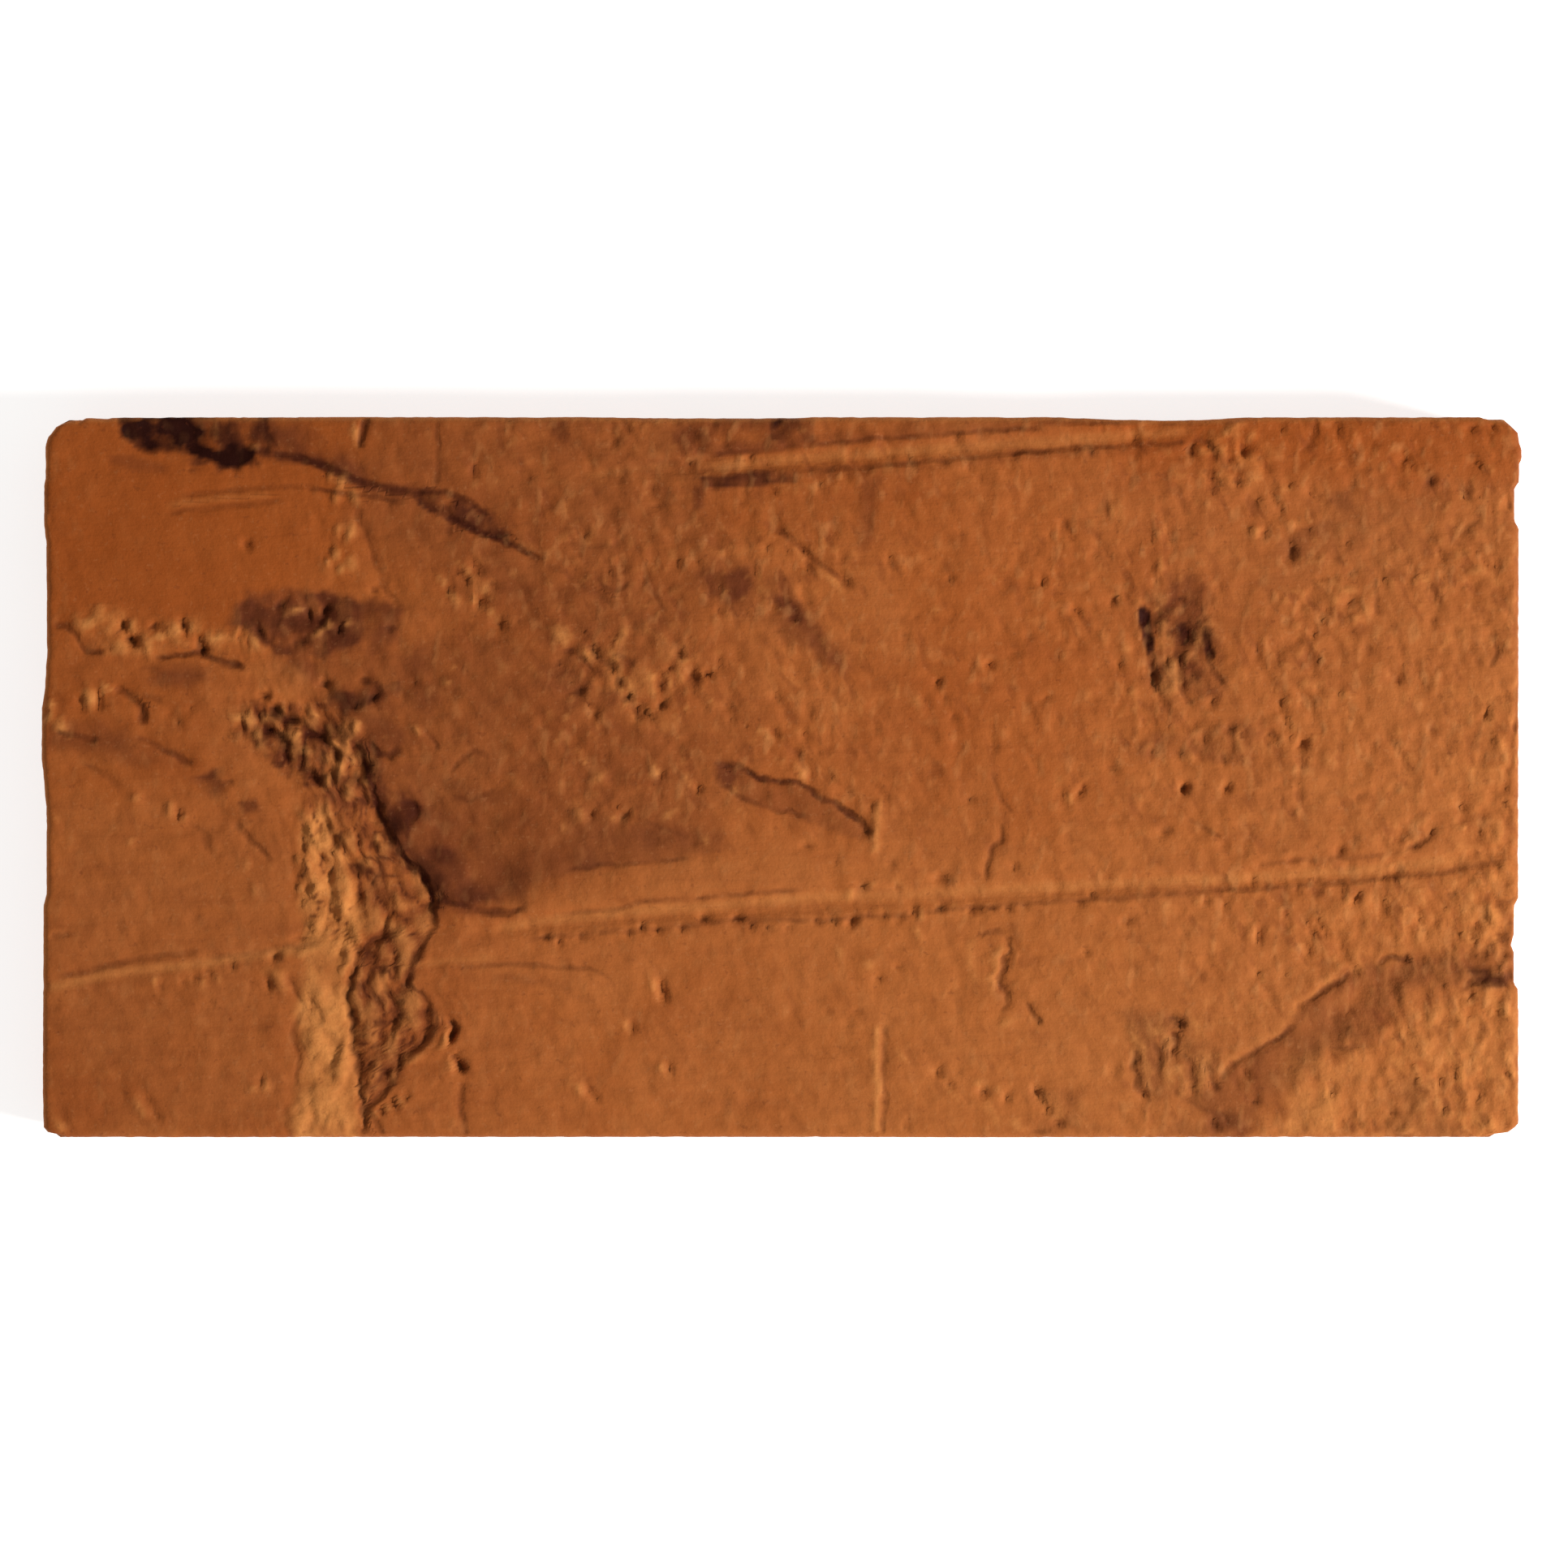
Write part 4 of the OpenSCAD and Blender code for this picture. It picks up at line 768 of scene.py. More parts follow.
# --- lower middle --------------------------------------------------------------------
pits([(816, 1221, 1.3, 0.75, 115, 0.6), (777, 1267, 0.9, 0.5, 120, 0.4), (824, 1316, 0.7, 0.5, 120, 0.4),
      (727, 1345, 1.0, 0.45, 130, 0.4), (850, 1316, 0.4, 0.35, 0, 0.2), (857, 1278, 0.4, 0.3, 90, 0.2),
      (556, 1276, 1.2, 0.4, 80, 0.4), (568, 1316, 1.0, 0.45, 130, 0.45), (1106, 1192, 0.5, 0.5, 0, 0.3),
      (1082, 1206, 0.5, 0.4, 0, 0.25), (1331, 976, 0.9, 0.5, 60, 0.35), (1459, 972, 0.8, 0.5, 120, 0.4),
      (1434, 1023, 0.8, 0.7, 0, 0.35), (1369, 946, 0.7, 0.4, 140, 0.3), (1173, 885, 0.6, 0.4, 60, 0.3),
      (1159, 1081, 0.8, 0.8, 0, 0.45), (1061, 1092, 0.5, 0.4, 0, 0.3), (1387, 1134, 0.7, 0.6, 0, 0.35),
      (1105, 1091, 0.5, 0.4, 0, 0.25), (1250, 1068, 0.7, 0.4, 120, 0.3), (1096, 1064, 0.5, 0.35, 120, 0.25),
      (995, 1042, 0.8, 0.4, 160, 0.3), (1030, 1062, 0.4, 0.4, 0, 0.2), (1194, 985, 0.6, 0.4, 30, 0.25),
      (1338, 1174, 0.4, 0.4, 0, 0.25), (1313, 1068, 0.4, 0.5, 0, 0.2)], soot=0.45)
pits([(805, 1214, 1.5, 0.45, 115, -0.25), (771, 1264, 0.9, 0.45, 120, -0.25), (816, 1316, 0.8, 0.45, 110, -0.25),
      (712, 1341, 1.1, 0.5, 120, -0.3), (548, 1280, 1.3, 0.4, 80, -0.25), (557, 1314, 0.9, 0.4, 110, -0.25),
      (1318, 986, 0.8, 0.4, 100, -0.25), (1241, 1260, 0.9, 0.5, 10, -0.3), (1075, 1090, 0.8, 0.4, 20, -0.25),
      (1046, 1104, 0.8, 0.5, 60, -0.25), (1131, 1150, 0.9, 0.4, 110, -0.3), (1136, 1126, 0.9, 0.3, 90, -0.25),
      (1034, 1172, 0.6, 0.4, 120, -0.2), (1070, 1190, 0.9, 0.6, 150, -0.2)], pale=0.5)
stroke([(1238, 1152), (1246, 1166), (1236, 1192), (1231, 1211), (1241, 1226), (1238, 1247)], 0.7, depth=0.24, soot=0.5,
       waver=0.55, wave=1.6, ends=0.06)
stroke([(1232, 1158), (1228, 1180), (1222, 1205), (1228, 1230)], 0.8, depth=-0.14, pale=0.45, waver=0.5, wave=1.6)
stroke([(1204, 1152), (1220, 1148), (1236, 1150)], 0.6, depth=0.12, soot=0.35, waver=0.4, wave=1.6)
stroke([(1200, 1152), (1194, 1170), (1196, 1192), (1205, 1215)], 0.5, depth=-0.14, pale=0.25, waver=0.2)
stroke([(1262, 1236), (1270, 1248), (1282, 1262)], 0.7, depth=0.3, soot=0.35, waver=0.3)
stroke([(1233, 1010), (1234, 1034), (1220, 1046), (1215, 1068), (1215, 1086)], 0.6, depth=0.25, soot=0.34, waver=0.2)
stroke([(1223, 950), (1232, 985), (1248, 1005)], 0.5, depth=0.15, soot=0.2, waver=0.3)
stroke([(1083, 1262), (1078, 1300), (1082, 1340), (1076, 1398)], 0.9, depth=-0.18, pale=0.6, waver=0.3, wave=2, ends=0.05)
stroke([(1092, 1260), (1088, 1316), (1091, 1350), (1085, 1398)], 0.6, depth=0.14, soot=0.25, waver=0.3, wave=2, ends=0.05)
pits([(1155, 1322, 1.0, 0.5, 110, 0.35), (1169, 1337, 0.8, 0.35, 140, 0.3), (1212, 1345, 0.9, 0.6, 90, 0.45),
      (1240, 1352, 0.7, 0.4, 60, 0.3), (1278, 1348, 1.0, 0.5, 110, 0.45), (1289, 1366, 0.9, 0.4, 120, 0.35),
      (1303, 1383, 0.8, 0.45, 130, 0.35), (1054, 1246, 0.5, 0.4, 0, 0.25), (1044, 1262, 0.5, 0.35, 0, 0.25),
      (1019, 1248, 0.5, 0.4, 0, 0.2), (1115, 1388, 0.5, 0.5, 0, 0.2), (1275, 1394, 0.4, 0.9, 90, 0.3),
      (1160, 1312, 0.5, 0.3, 60, 0.25)], soot=0.4)
pits([(1110, 1300, 1.2, 0.4, 135, -0.2), (1172, 1346, 1.0, 0.3, 140, -0.2), (1222, 1370, 1.5, 0.5, 125, -0.3),
      (1206, 1334, 0.7, 0.4, 80, -0.25), (1229, 1342, 0.6, 0.4, 90, -0.2), (1252, 1385, 1.2, 0.5, 130, -0.25)], pale=0.45)

# --- the dark spot on the right, and its streaks ---------------------------------------
patch([(1416, 765), (1432, 722), (1468, 700), (1488, 725), (1500, 790), (1498, 815), (1450, 812)], stain_and_shade=0.5, soot=0.12,
      soft=3.0, waver=1.2, mottle=0.5, mottle_wave=3)
stroke([(1408, 750), (1414, 776), (1416, 803)], 2.0, depth=0.25, soot=1.0, waver=0.35, wave=2, ends=0.25)
patch([(1404, 748), (1414, 748), (1421, 775), (1423, 802), (1413, 806), (1407, 780)], stain_and_shade=0.5, soot=0.85, soft=0.7, waver=0.4, wave=3)
patch([(1450, 764), (1462, 766), (1468, 782), (1460, 796), (1452, 786)], stain_and_shade=0.4, soot=0.6, soft=0.7, waver=0.4, wave=3)
patch([(1482, 770), (1490, 772), (1496, 800), (1494, 818), (1486, 806)], stain_and_shade=0.4, soot=0.65, soft=0.7, waver=0.4, wave=3)
stroke([(1416, 803), (1420, 825), (1424, 843)], 0.9, depth=0.12, soot=0.42, waver=0.35, wave=2, ends=0.2)
stroke([(1454, 768), (1462, 780), (1458, 794)], 1.8, depth=0.2, soot=0.85, waver=0.5, wave=2, ends=0.3)
stroke([(1484, 774), (1488, 792), (1492, 814)], 1.4, depth=0.2, soot=0.85, waver=0.3, wave=2, ends=0.25)
stroke([(1488, 812), (1496, 830), (1506, 846)], 0.6, depth=0.25, soot=0.4, waver=0.3)
stroke([(1447, 800), (1455, 816), (1452, 834), (1460, 862), (1474, 868)], 0.7, depth=0.35, soot=0.42, waver=0.35)
pits([(1430, 756, 1.0, 0.45, 110, 0.3), (1457, 752, 0.8, 0.4, 80, 0.3), (1458, 736, 0.6, 0.5, 60, 0.25),
      (1421, 842, 0.8, 0.4, 120, 0.35), (1440, 780, 0.6, 0.4, 90, 0.25), (1440, 812, 0.7, 0.35, 70, 0.3),
      (1470, 830, 0.7, 0.4, 110, 0.3), (1494, 864, 0.9, 0.4, 60, 0.3), (1432, 866, 0.9, 0.4, 120, 0.3)], soot=0.5)
pits([(1432, 795, 0.9, 0.5, 100, -0.3), (1444, 822, 0.9, 0.4, 80, -0.3), (1465, 806, 0.9, 0.4, 70, -0.3),
      (1478, 842, 0.9, 0.5, 100, -0.25), (1446, 848, 0.8, 0.5, 120, -0.25), (1402, 742, 1.0, 0.4, 90, -0.2)], pale=0.25)
pits([(1323, 752, 0.6, 0.55, 0, 0.4), (1216, 819, 0.7, 0.6, 0, 0.4), (1117, 781, 0.5, 0.5, 0, 0.3),
      (1128, 760, 0.5, 0.35, 60, 0.2), (1155, 840, 0.6, 0.5, 0, 0.35), (1267, 784, 0.6, 0.4, 60, 0.25),
      (1248, 806, 0.4, 0.9, 100, 0.25), (1098, 695, 0.9, 0.35, 95, 0.3), (1171, 713, 0.6, 0.4, 60, 0.2),
      (1286, 718, 0.7, 0.35, 110, 0.25), (1371, 741, 0.8, 0.4, 70, 0.25), (1290, 860, 0.9, 0.4, 30, 0.3),
      (1212, 845, 0.4, 0.3, 90, 0.15), (1165, 858, 0.5, 0.6, 0, 0.25), (1138, 862, 0.8, 0.35, 120, 0.3)], soot=0.4)
pits([(1311, 752, 0.7, 0.4, 90, -0.2), (1207, 818, 0.8, 0.4, 90, -0.25), (1152, 750, 0.6, 0.5, 0, -0.25),
      (1104, 850, 1.2, 0.4, 115, -0.25), (1131, 866, 0.9, 0.4, 110, -0.25), (1370, 630, 1.3, 0.35, 95, -0.25),
      (1344, 645, 0.6, 0.5, 0, -0.15), (1427, 656, 0.7, 0.5, 60, -0.2), (1430, 695, 1.2, 0.4, 95, -0.15),
      (1387, 800, 0.6, 0.5, 0, -0.2), (1311, 808, 0.7, 0.35, 90, -0.2), (1397, 855, 0.9, 0.4, 110, -0.25)], pale=0.4)

# --- end of the upper groove and the right side ---------------------------------------------
stroke([(1470, 566), (1466, 552), (1474, 542), (1488, 545), (1498, 558), (1496, 570)], 0.7, depth=0.3, soot=0.4, waver=0.3)
pits([(1532, 552, 1.2, 0.5, 95, 0.55), (1495, 589, 0.9, 0.4, 150, 0.35), (1526, 592, 0.4, 1.2, 95, 0.25),
      (1516, 568, 0.5, 0.4, 0, 0.25), (1552, 564, 0.7, 0.35, 40, 0.2), (1486, 582, 0.7, 0.35, 130, 0.3)], soot=0.55)
pits([(1506, 556, 1.0, 0.5, 80, -0.3), (1517, 528, 1.4, 0.7, 20, -0.25), (1540, 540, 0.9, 0.5, 60, -0.25),
      (1482, 556, 0.7, 0.5, 0, -0.2)], pale=0.45)
pits([(1402, 915, 0.5, 0.4, 90, 0.25), (1420, 926, 0.6, 0.35, 100, 0.25), (1438, 918, 0.5, 0.35, 90, 0.25),
      (1453, 927, 0.6, 0.35, 110, 0.25), (1470, 914, 0.6, 0.4, 100, 0.3), (1530, 906, 0.6, 0.4, 90, 0.3)], soot=0.45, grow=1.2)
stroke([(1622, 517), (1620, 532), (1612, 548), (1604, 560)], 0.8, depth=0.15, soot=0.22, waver=0.4)
stroke([(1822, 640), (1808, 650), (1796, 662)], 0.6, depth=0.2, soot=0.25, waver=0.3)
stroke([(1693, 707), (1695, 730), (1697, 760)], 0.5, depth=0.2, soot=0.28, waver=0.2)
stroke([(1838, 785), (1844, 800), (1837, 822)], 0.5, depth=0.2, soot=0.3, waver=0.2)
stroke([(1461, 1008), (1482, 1020), (1505, 1032)], 0.55, depth=0.25, soot=0.3, waver=0.2)
pits([(1763, 590, 0.8, 0.7, 60, 0.4), (1816, 527, 0.5, 0.7, 100, 0.35), (1839, 527, 0.6, 0.4, 110, 0.3),
      (1860, 623, 0.7, 0.5, 120, 0.3), (1558, 658, 0.6, 0.45, 90, 0.35), (1675, 550, 0.7, 0.35, 50, 0.2),
      (1612, 652, 0.6, 0.5, 0, 0.25), (1592, 681, 0.8, 0.5, 60, 0.1), (1661, 669, 0.8, 0.35, 60, 0.25),
      (1664, 707, 0.9, 0.35, 50, 0.3), (1662, 743, 0.9, 0.35, 30, 0.3), (1628, 764, 0.7, 0.4, 120, 0.35),
      (1618, 781, 0.6, 0.4, 80, 0.3), (1720, 839, 0.9, 0.5, 130, 0.4), (1624, 847, 0.8, 0.45, 110, 0.4),
      (1650, 856, 0.5, 0.4, 90, 0.25), (1781, 800, 0.5, 0.4, 0, 0.25), (1482, 909, 0.9, 0.6, 60, 0.22),
      (1514, 899, 0.7, 0.45, 60, 0.35), (1606, 917, 0.9, 0.6, 90, 0.5), (1458, 973, 0.8, 0.55, 60, 0.45),
      (1482, 966, 0.8, 0.35, 140, 0.3), (1512, 971, 0.8, 0.5, 70, 0.4), (1652, 1047, 0.8, 0.55, 130, 0.45),
      (1719, 1033, 0.6, 0.5, 0, 0.4), (1800, 996, 0.7, 0.4, 140, 0.35), (1486, 1111, 0.6, 0.45, 90, 0.35),
      (1503, 1132, 0.4, 0.6, 90, 0.2), (1673, 1104, 1.1, 0.4, 60, 0.35), (1551, 1153, 1.0, 0.45, 85, 0.4),
      (1613, 1143, 1.1, 0.35, 120, 0.35), (1631, 1143, 0.9, 0.3, 120, 0.25), (1670, 1197, 0.5, 0.7, 20, 0.5),
      (1641, 1344, 0.9, 0.4, 90, 0.35), (1716, 1371, 0.6, 0.5, 0, 0.35), (1546, 1358, 0.6, 0.4, 0, 0.3),
      (1497, 1387, 1.0, 0.5, 120, 0.4), (1779, 1369, 0.6, 0.45, 0, 0.3), (1730, 1400, 0.4, 1.6, 90, 0.3),
      (1866, 895, 0.9, 0.4, 95, 0.4), (1832, 881, 0.9, 0.4, 70, 0.35), (1853, 991, 0.9, 0.4, 130, 0.35),
      (1848, 1153, 0.9, 0.5, 130, 0.4), (1697, 914, 0.9, 0.3, 90, 0.25), (1676, 981, 0.9, 0.5, 30, 0.2),
      (1565, 904, 0.6, 0.4, 0, 0.2), (1590, 910, 0.6, 0.35, 130, 0.25), (1764, 900, 0.7, 0.5, 0, 0.3),
      (1826, 936, 0.9, 0.35, 100, 0.3), (1853, 1176, 0.7, 0.4, 110, 0.35), (1449, 1256, 1.0, 0.45, 150, 0.4),
      (1398, 1309, 0.7, 0.35, 95, 0.2), (1408, 1346, 0.8, 0.6, 130, 0.4), (1436, 1282, 0.9, 0.5, 60, 0.35),
      (1462, 1290, 0.8, 0.4, 110, 0.3), (1470, 1345, 0.9, 0.4, 120, 0.35), (1535, 1322, 1.0, 0.5, 110, 0.3),
      (1600, 1240, 0.8, 0.5, 40, 0.3)], soot=0.42)
stroke([(1730, 1048), (1745, 1040), (1758, 1033), (1770, 1018)], 0.7, depth=0.35, soot=0.35, waver=0.3)
stroke([(1497, 1332), (1528, 1305), (1574, 1280), (1598, 1260)], 0.7, depth=0.25, soot=0.5, waver=0.4)
stroke([(1606, 1240), (1625, 1222), (1645, 1211), (1668, 1198)], 0.8, depth=0.35, soot=0.45, waver=0.35)
stroke([(1698, 1190), (1714, 1180), (1732, 1184), (1730, 1172)], 0.7, depth=0.35, soot=0.45, waver=0.3)
stroke([(1640, 1290), (1668, 1292), (1690, 1288)], 0.6, depth=0.2, soot=0.25, waver=0.3)
stroke([(1800, 1222), (1810, 1208), (1832, 1207), (1856, 1212)], 0.9, depth=0.3, soot=0.5, waver=0.3)
stroke([(1852, 1188), (1864, 1198), (1866, 1212)], 0.9, depth=0.3, soot=0.4, waver=0.3)
stroke([(1404, 1290), (1394, 1312), (1402, 1338), (1414, 1352)], 1.0, depth=0.18, soot=0.36, waver=0.4, wave=2)
stroke([(1420, 1284), (1430, 1302), (1424, 1330)], 0.9, depth=0.25, soot=0.3, waver=0.4, wave=2)
stroke([(1440, 1250), (1452, 1262), (1462, 1264)], 1.3, depth=0.3, soot=0.6, waver=0.3, wave=2)
stroke([(1446, 1268), (1448, 1286), (1440, 1300)], 1.0, depth=0.25, soot=0.4, waver=0.4, wave=2)
stroke([(1454, 1296), (1466, 1314), (1470, 1342)], 0.9, depth=0.2, soot=0.3, waver=0.4, wave=2)
stroke([(1488, 1306), (1494, 1326), (1500, 1346)], 1.1, depth=0.25, soot=0.45, waver=0.3, wave=2)
pits([(1412, 1312, 1.9, 0.5, 100, -0.3), (1436, 1276, 1.6, 0.5, 125, -0.3), (1438, 1326, 1.8, 0.5, 100, -0.3),
      (1456, 1336, 1.6, 0.45, 95, -0.3), (1478, 1322, 1.6, 0.45, 100, -0.25), (1398, 1282, 1.4, 0.4, 120, -0.25)], pale=0.45)
stroke([(1440, 1344), (1470, 1362), (1500, 1372), (1516, 1390)], 0.8, depth=0.2, soot=0.2, waver=0.5, broken=0.2)
pits([(1826, 702, 0.7, 0.6, 0, -0.3), (1547, 656, 0.9, 0.4, 90, -0.3), (1644, 738, 0.8, 0.5, 120, -0.3),
      (1684, 750, 0.9, 0.5, 110, -0.3), (1670, 762, 0.7, 0.5, 0, -0.25), (1660, 728, 1.1, 0.4, 20, -0.25),
      (1527, 913, 1.4, 0.4, 90, -0.35), (1751, 1012, 1.4, 0.5, 40, -0.3), (1655, 857, 0.8, 0.5, 0, -0.25),
      (1625, 866, 0.8, 0.5, 100, -0.25), (1850, 917, 1.0, 0.5, 120, -0.3), (1856, 934, 0.8, 0.5, 90, -0.3),
      (1800, 1021, 0.6, 0.5, 0, -0.3), (1663, 1298, 0.9, 0.5, 10, -0.35), (1756, 1302, 0.8, 0.5, 0, -0.3),
      (1624, 1312, 1.6, 1.1, 100, -0.3), (1637, 1207, 0.8, 0.4, 90, -0.3), (1652, 1190, 0.9, 0.4, 60, -0.3),
      (1476, 1111, 0.6, 0.4, 60, -0.2), (1543, 1150, 1.1, 0.35, 85, -0.25), (1662, 1105, 1.0, 0.35, 85, -0.25),
      (1845, 1030, 1.0, 0.6, 60, -0.25), (1852, 1195, 0.8, 0.4, 60, -0.3), (1856, 1245, 0.9, 0.5, 100, -0.3),
      (1822, 1300, 2.0, 0.5, 85, -0.3), (1750, 1330, 1.4, 0.4, 110, -0.25), (1838, 1130, 1.4, 0.6, 110, -0.25),
      (1488, 1312, 1.0, 0.4, 85, -0.25), (1474, 1264, 1.2, 0.4, 130, -0.25), (1424, 1270, 0.9, 0.6, 0, -0.2),
      (1450, 1318, 0.9, 0.6, 40, -0.25), (1786, 1372, 0.8, 0.5, 0, -0.25), (1735, 1392, 0.8, 0.7, 0, -0.25),
      (1838, 1385, 1.3, 0.5, 110, -0.3), (1602, 1330, 1.5, 0.8, 90, -0.2)], pale=0.42)
patch([(1585, 1300), (1640, 1300), (1640, 1392), (1580, 1396)], pale=0.35, soft=1.8, waver=1.0, mottle=0.3)

# ---------------------------------------------------------------------------
# Grain of the clay
# ---------------------------------------------------------------------------
grit = smooth(-20, 85, X + 0.35 * Y + 8 * fbm(X, Y, 30, 2, 101))
grit = np.clip(0.16 + 0.84 * grit + 0.6 * smooth(-60, -30, X) * (1 - smooth(0, 25, X)) * smooth(-12, 2, Y), 0, 1)
calm = smooth(-101, -92, X) * (1 - smooth(-70, -58, X)) * smooth(16, 24, Y)
grit *= 1 - 0.75 * calm

H += 0.10 * fbm(X, Y, 14, 3, 111)
H += (0.07 + 0.05 * grit) * fbm(X, Y, 4.6, 3, 113)
H += (0.012 + 0.027 * grit + 0.12 * ROUGH) * fbm(X, Y, 1.8, 2, 117)


def turned(deg, ratio, wave, seed, octaves=2):
    """Noise drawn out along a direction."""
    c_, s_ = math.cos(math.radians(deg)), math.sin(math.radians(deg))
    return fbm((Xw * c_ + Yw * s_) / ratio, Yw * c_ - Xw * s_, wave, octaves, seed)


# smears of the striker: ridges running down to the right in the middle, along the tile elsewhere
mid = smooth(-70, -40, X) * (1 - smooth(10, 45, X)) * smooth(-14, 0, Y)
H += 0.17 * mid * turned(-38, 5, 1.9, 121, 3) + 0.05 * (1 - mid) * turned(8, 8, 1.6, 123, 3) * (1 - 0.6 * calm)
skin = turned(122, 1.6, 2.3, 171, 3)
H += 0.13 * (1 - 0.65 * calm) * (1 - 0.3 * grit) * (1 + 0.6 * mid) * skin
lower_right = smooth(68, 88, X) * smooth(-8, -24, Y)
ribs = turned(104, 3.0, 1.7, 173, 3)
H += 0.20 * lower_right * ribs
PALE[:] = 1 - (1 - PALE) * (1 - 0.38 * lower_right * smooth(0.15, 0.7, ribs))
# the troughs between the ribs are painted darker: painted shade in them
SOOT[:] = 1 - (1 - SOOT) * (1 - 0.14 * lower_right * smooth(0.25, 0.7, -ribs))
# open, pitted grit
cluster = smooth(-0.5, 0.6, fbm(X, Y, 11, 2, 151))
gr = grit ** 1.5 * (0.25 + 0.75 * cluster)
pock = turned(116, 2.3, 1.7, 127, 3)
H -= 0.42 * gr * smooth(0.15, 0.75, pock)
# the dents are painted darker: painted shade in them
SOOT[:] = 1 - (1 - SOOT) * (1 - 0.20 * gr * smooth(0.35, 0.8, pock))
crumbs = turned(80, 1.7, 1.4, 133, 3)
H += 0.26 * gr * smooth(0.25, 0.8, crumbs)
PALE[:] = 1 - (1 - PALE) * (1 - 0.30 * gr * smooth(0.3, 0.8, crumbs))
# torn lumps in the crumbly places
lumps = turned(100, 1.8, 3.8, 131, 3)
H += 1.0 * ROUGH * (np.minimum(np.abs(lumps), 0.6) - 0.25)
# the gaps between the lumps are painted darker: painted shade in the valleys
lump_gap_shade = ROUGH * smooth(0.13, 0.01, np.abs(lumps)) * smooth(0.2, 0.8, ROUGH)
SOOT[:] = 1 - (1 - SOOT) * (1 - 0.38 * lump_gap_shade)
STAIN[:] = 1 - (1 - STAIN) * (1 - 0.8 * lump_gap_shade)
PALE[:] = PALE * (1 - 0.7 * lump_gap_shade)
PALE[:] = 1 - (1 - PALE) * (1 - 0.42 * ROUGH * smooth(0.25, 0.6, np.abs(lumps)))
STAIN[:] = 1 - (1 - STAIN) * (1 - 0.11 * smooth(25, 75, X))
# on the arris, the right rim, which the key lights, is painted darker (painted shade), and the left and top rims, which
# fall in shade, are painted paler (painted light)
rim_painted_shade = (1 - smooth(0.25, 1.1, dx_edge)) * (X > 0)
STAIN[:] = 1 - (1 - STAIN) * (1 - 0.5 * rim_painted_shade)
rim_painted_light = np.maximum((1 - smooth(0.2, 0.9, dx_edge)) * (X < 0), (1 - smooth(0.2, 0.9, dy_edge)) * (Y > 0))
PALE[:] = 1 - (1 - PALE) * (1 - 0.35 * rim_painted_light)
# the face is paler towards the lower right and redder towards the upper left
lower_right_paling = 0.15 * smooth(0, 130, X - 1.1 * Y) + 0.06 * smooth(-50, -15, X) * smooth(5, -20, Y) * (1 - smooth(30, 60, X))
PALE[:] = 1 - (1 - PALE) * (1 - lower_right_paling)
upper_left_warming = 0.5 * smooth(-10, -80, X) * smooth(-5, 30, Y) + 0.6 * smooth(36, 49, Y) * smooth(20, 60, X)
WARM[:] = 1 - (1 - WARM) * (1 - upper_left_warming)

# the purple-brown band below the crease at the lower right, free of dust
band_line = P((1490, 1340), (1528, 1308), (1574, 1282), (1612, 1240), (1648, 1212), (1700, 1188), (1760, 1176), (1830, 1172),
              (1880, 1170), (1880, 1210), (1800, 1222), (1740, 1240), (1704, 1285), (1650, 1310), (1590, 1350), (1550, 1402),
              (1480, 1402))
band = smooth(-0.9, 0.9, inside(band_line, X + 1.0 * fbm(X, Y, 5, 3, 181), Y + 1.0 * fbm(X, Y, 5, 3, 183)))
STAIN[:] = 1 - (1 - STAIN) * (1 - 0.14 * band * np.clip(1 + fbm(X, Y, 5, 3, 185), 0.3, 1.4))
PALE[:] = PALE * (1 - 0.5 * band)

# scattered pits and crumbs, denser on the gritty right
rng = np.random.default_rng(2026)
n_want, n_done = 1900, 0
while n_done < n_want:
    px_, py_ = rng.uniform(56, 1868), rng.uniform(518, 1396)
    gx, gy = (px_ - 963) / 9, (957.5 - py_) / 9
    i, j = min(NX - 1, np.searchsorted(xn, gx)), min(NY - 1, np.searchsorted(yn, gy))
    size = float(np.clip(rng.lognormal(-0.95, 0.38), 0.22, 0.85))
    keep, deg, long_, deep = rng.uniform(), rng.normal(112, 24), rng.uniform(1.2, 2.6), rng.uniform(0.25, 0.55)
    tone, kind = rng.uniform(0.05, 0.38), rng.uniform()
    n_done += 1
    g = grit[j, i]
    if keep > 0.13 + 0.8 * g ** 1.3:
        continue
    size = 0.62 * size + 0.22 * size * g
    if kind < 0.72:
        pit(px_, py_, size * long_, size, deg, 0.8 * deep * size * (0.5 + 0.5 * g), 0.85 * tone * (0.4 + 0.6 * g), 0.0, seed=n_done % 11, grow=1.2)
    else:
        pit(px_, py_, size * long_, size, deg, -0.55 * deep * size, 0.0, tone, seed=n_done % 11, grow=1.2)

# keep the marks off the very edge, where the arris is worn smooth
H = H * smooth(-0.4, 1.2, np.minimum(dx_edge, dy_edge)) + (waves - np.maximum(grooves, fold)) * (
    1 - smooth(-0.4, 1.2, np.minimum(dx_edge, dy_edge))
)

# rounded arris
a = np.clip(1 - dx_edge / ARRIS, 0, None)
b = np.clip(1 - dy_edge / ARRIS, 0, None)
m = np.minimum(1, np.sqrt(a * a + b * b))
drop = ARRIS * (1 - np.sqrt(1 - m * m))
Z = T0 + H - drop
Z = np.where(Z > TOP - 0.15, TOP - 0.15 + 0.15 * np.tanh((Z - TOP + 0.15) / 0.15), Z)

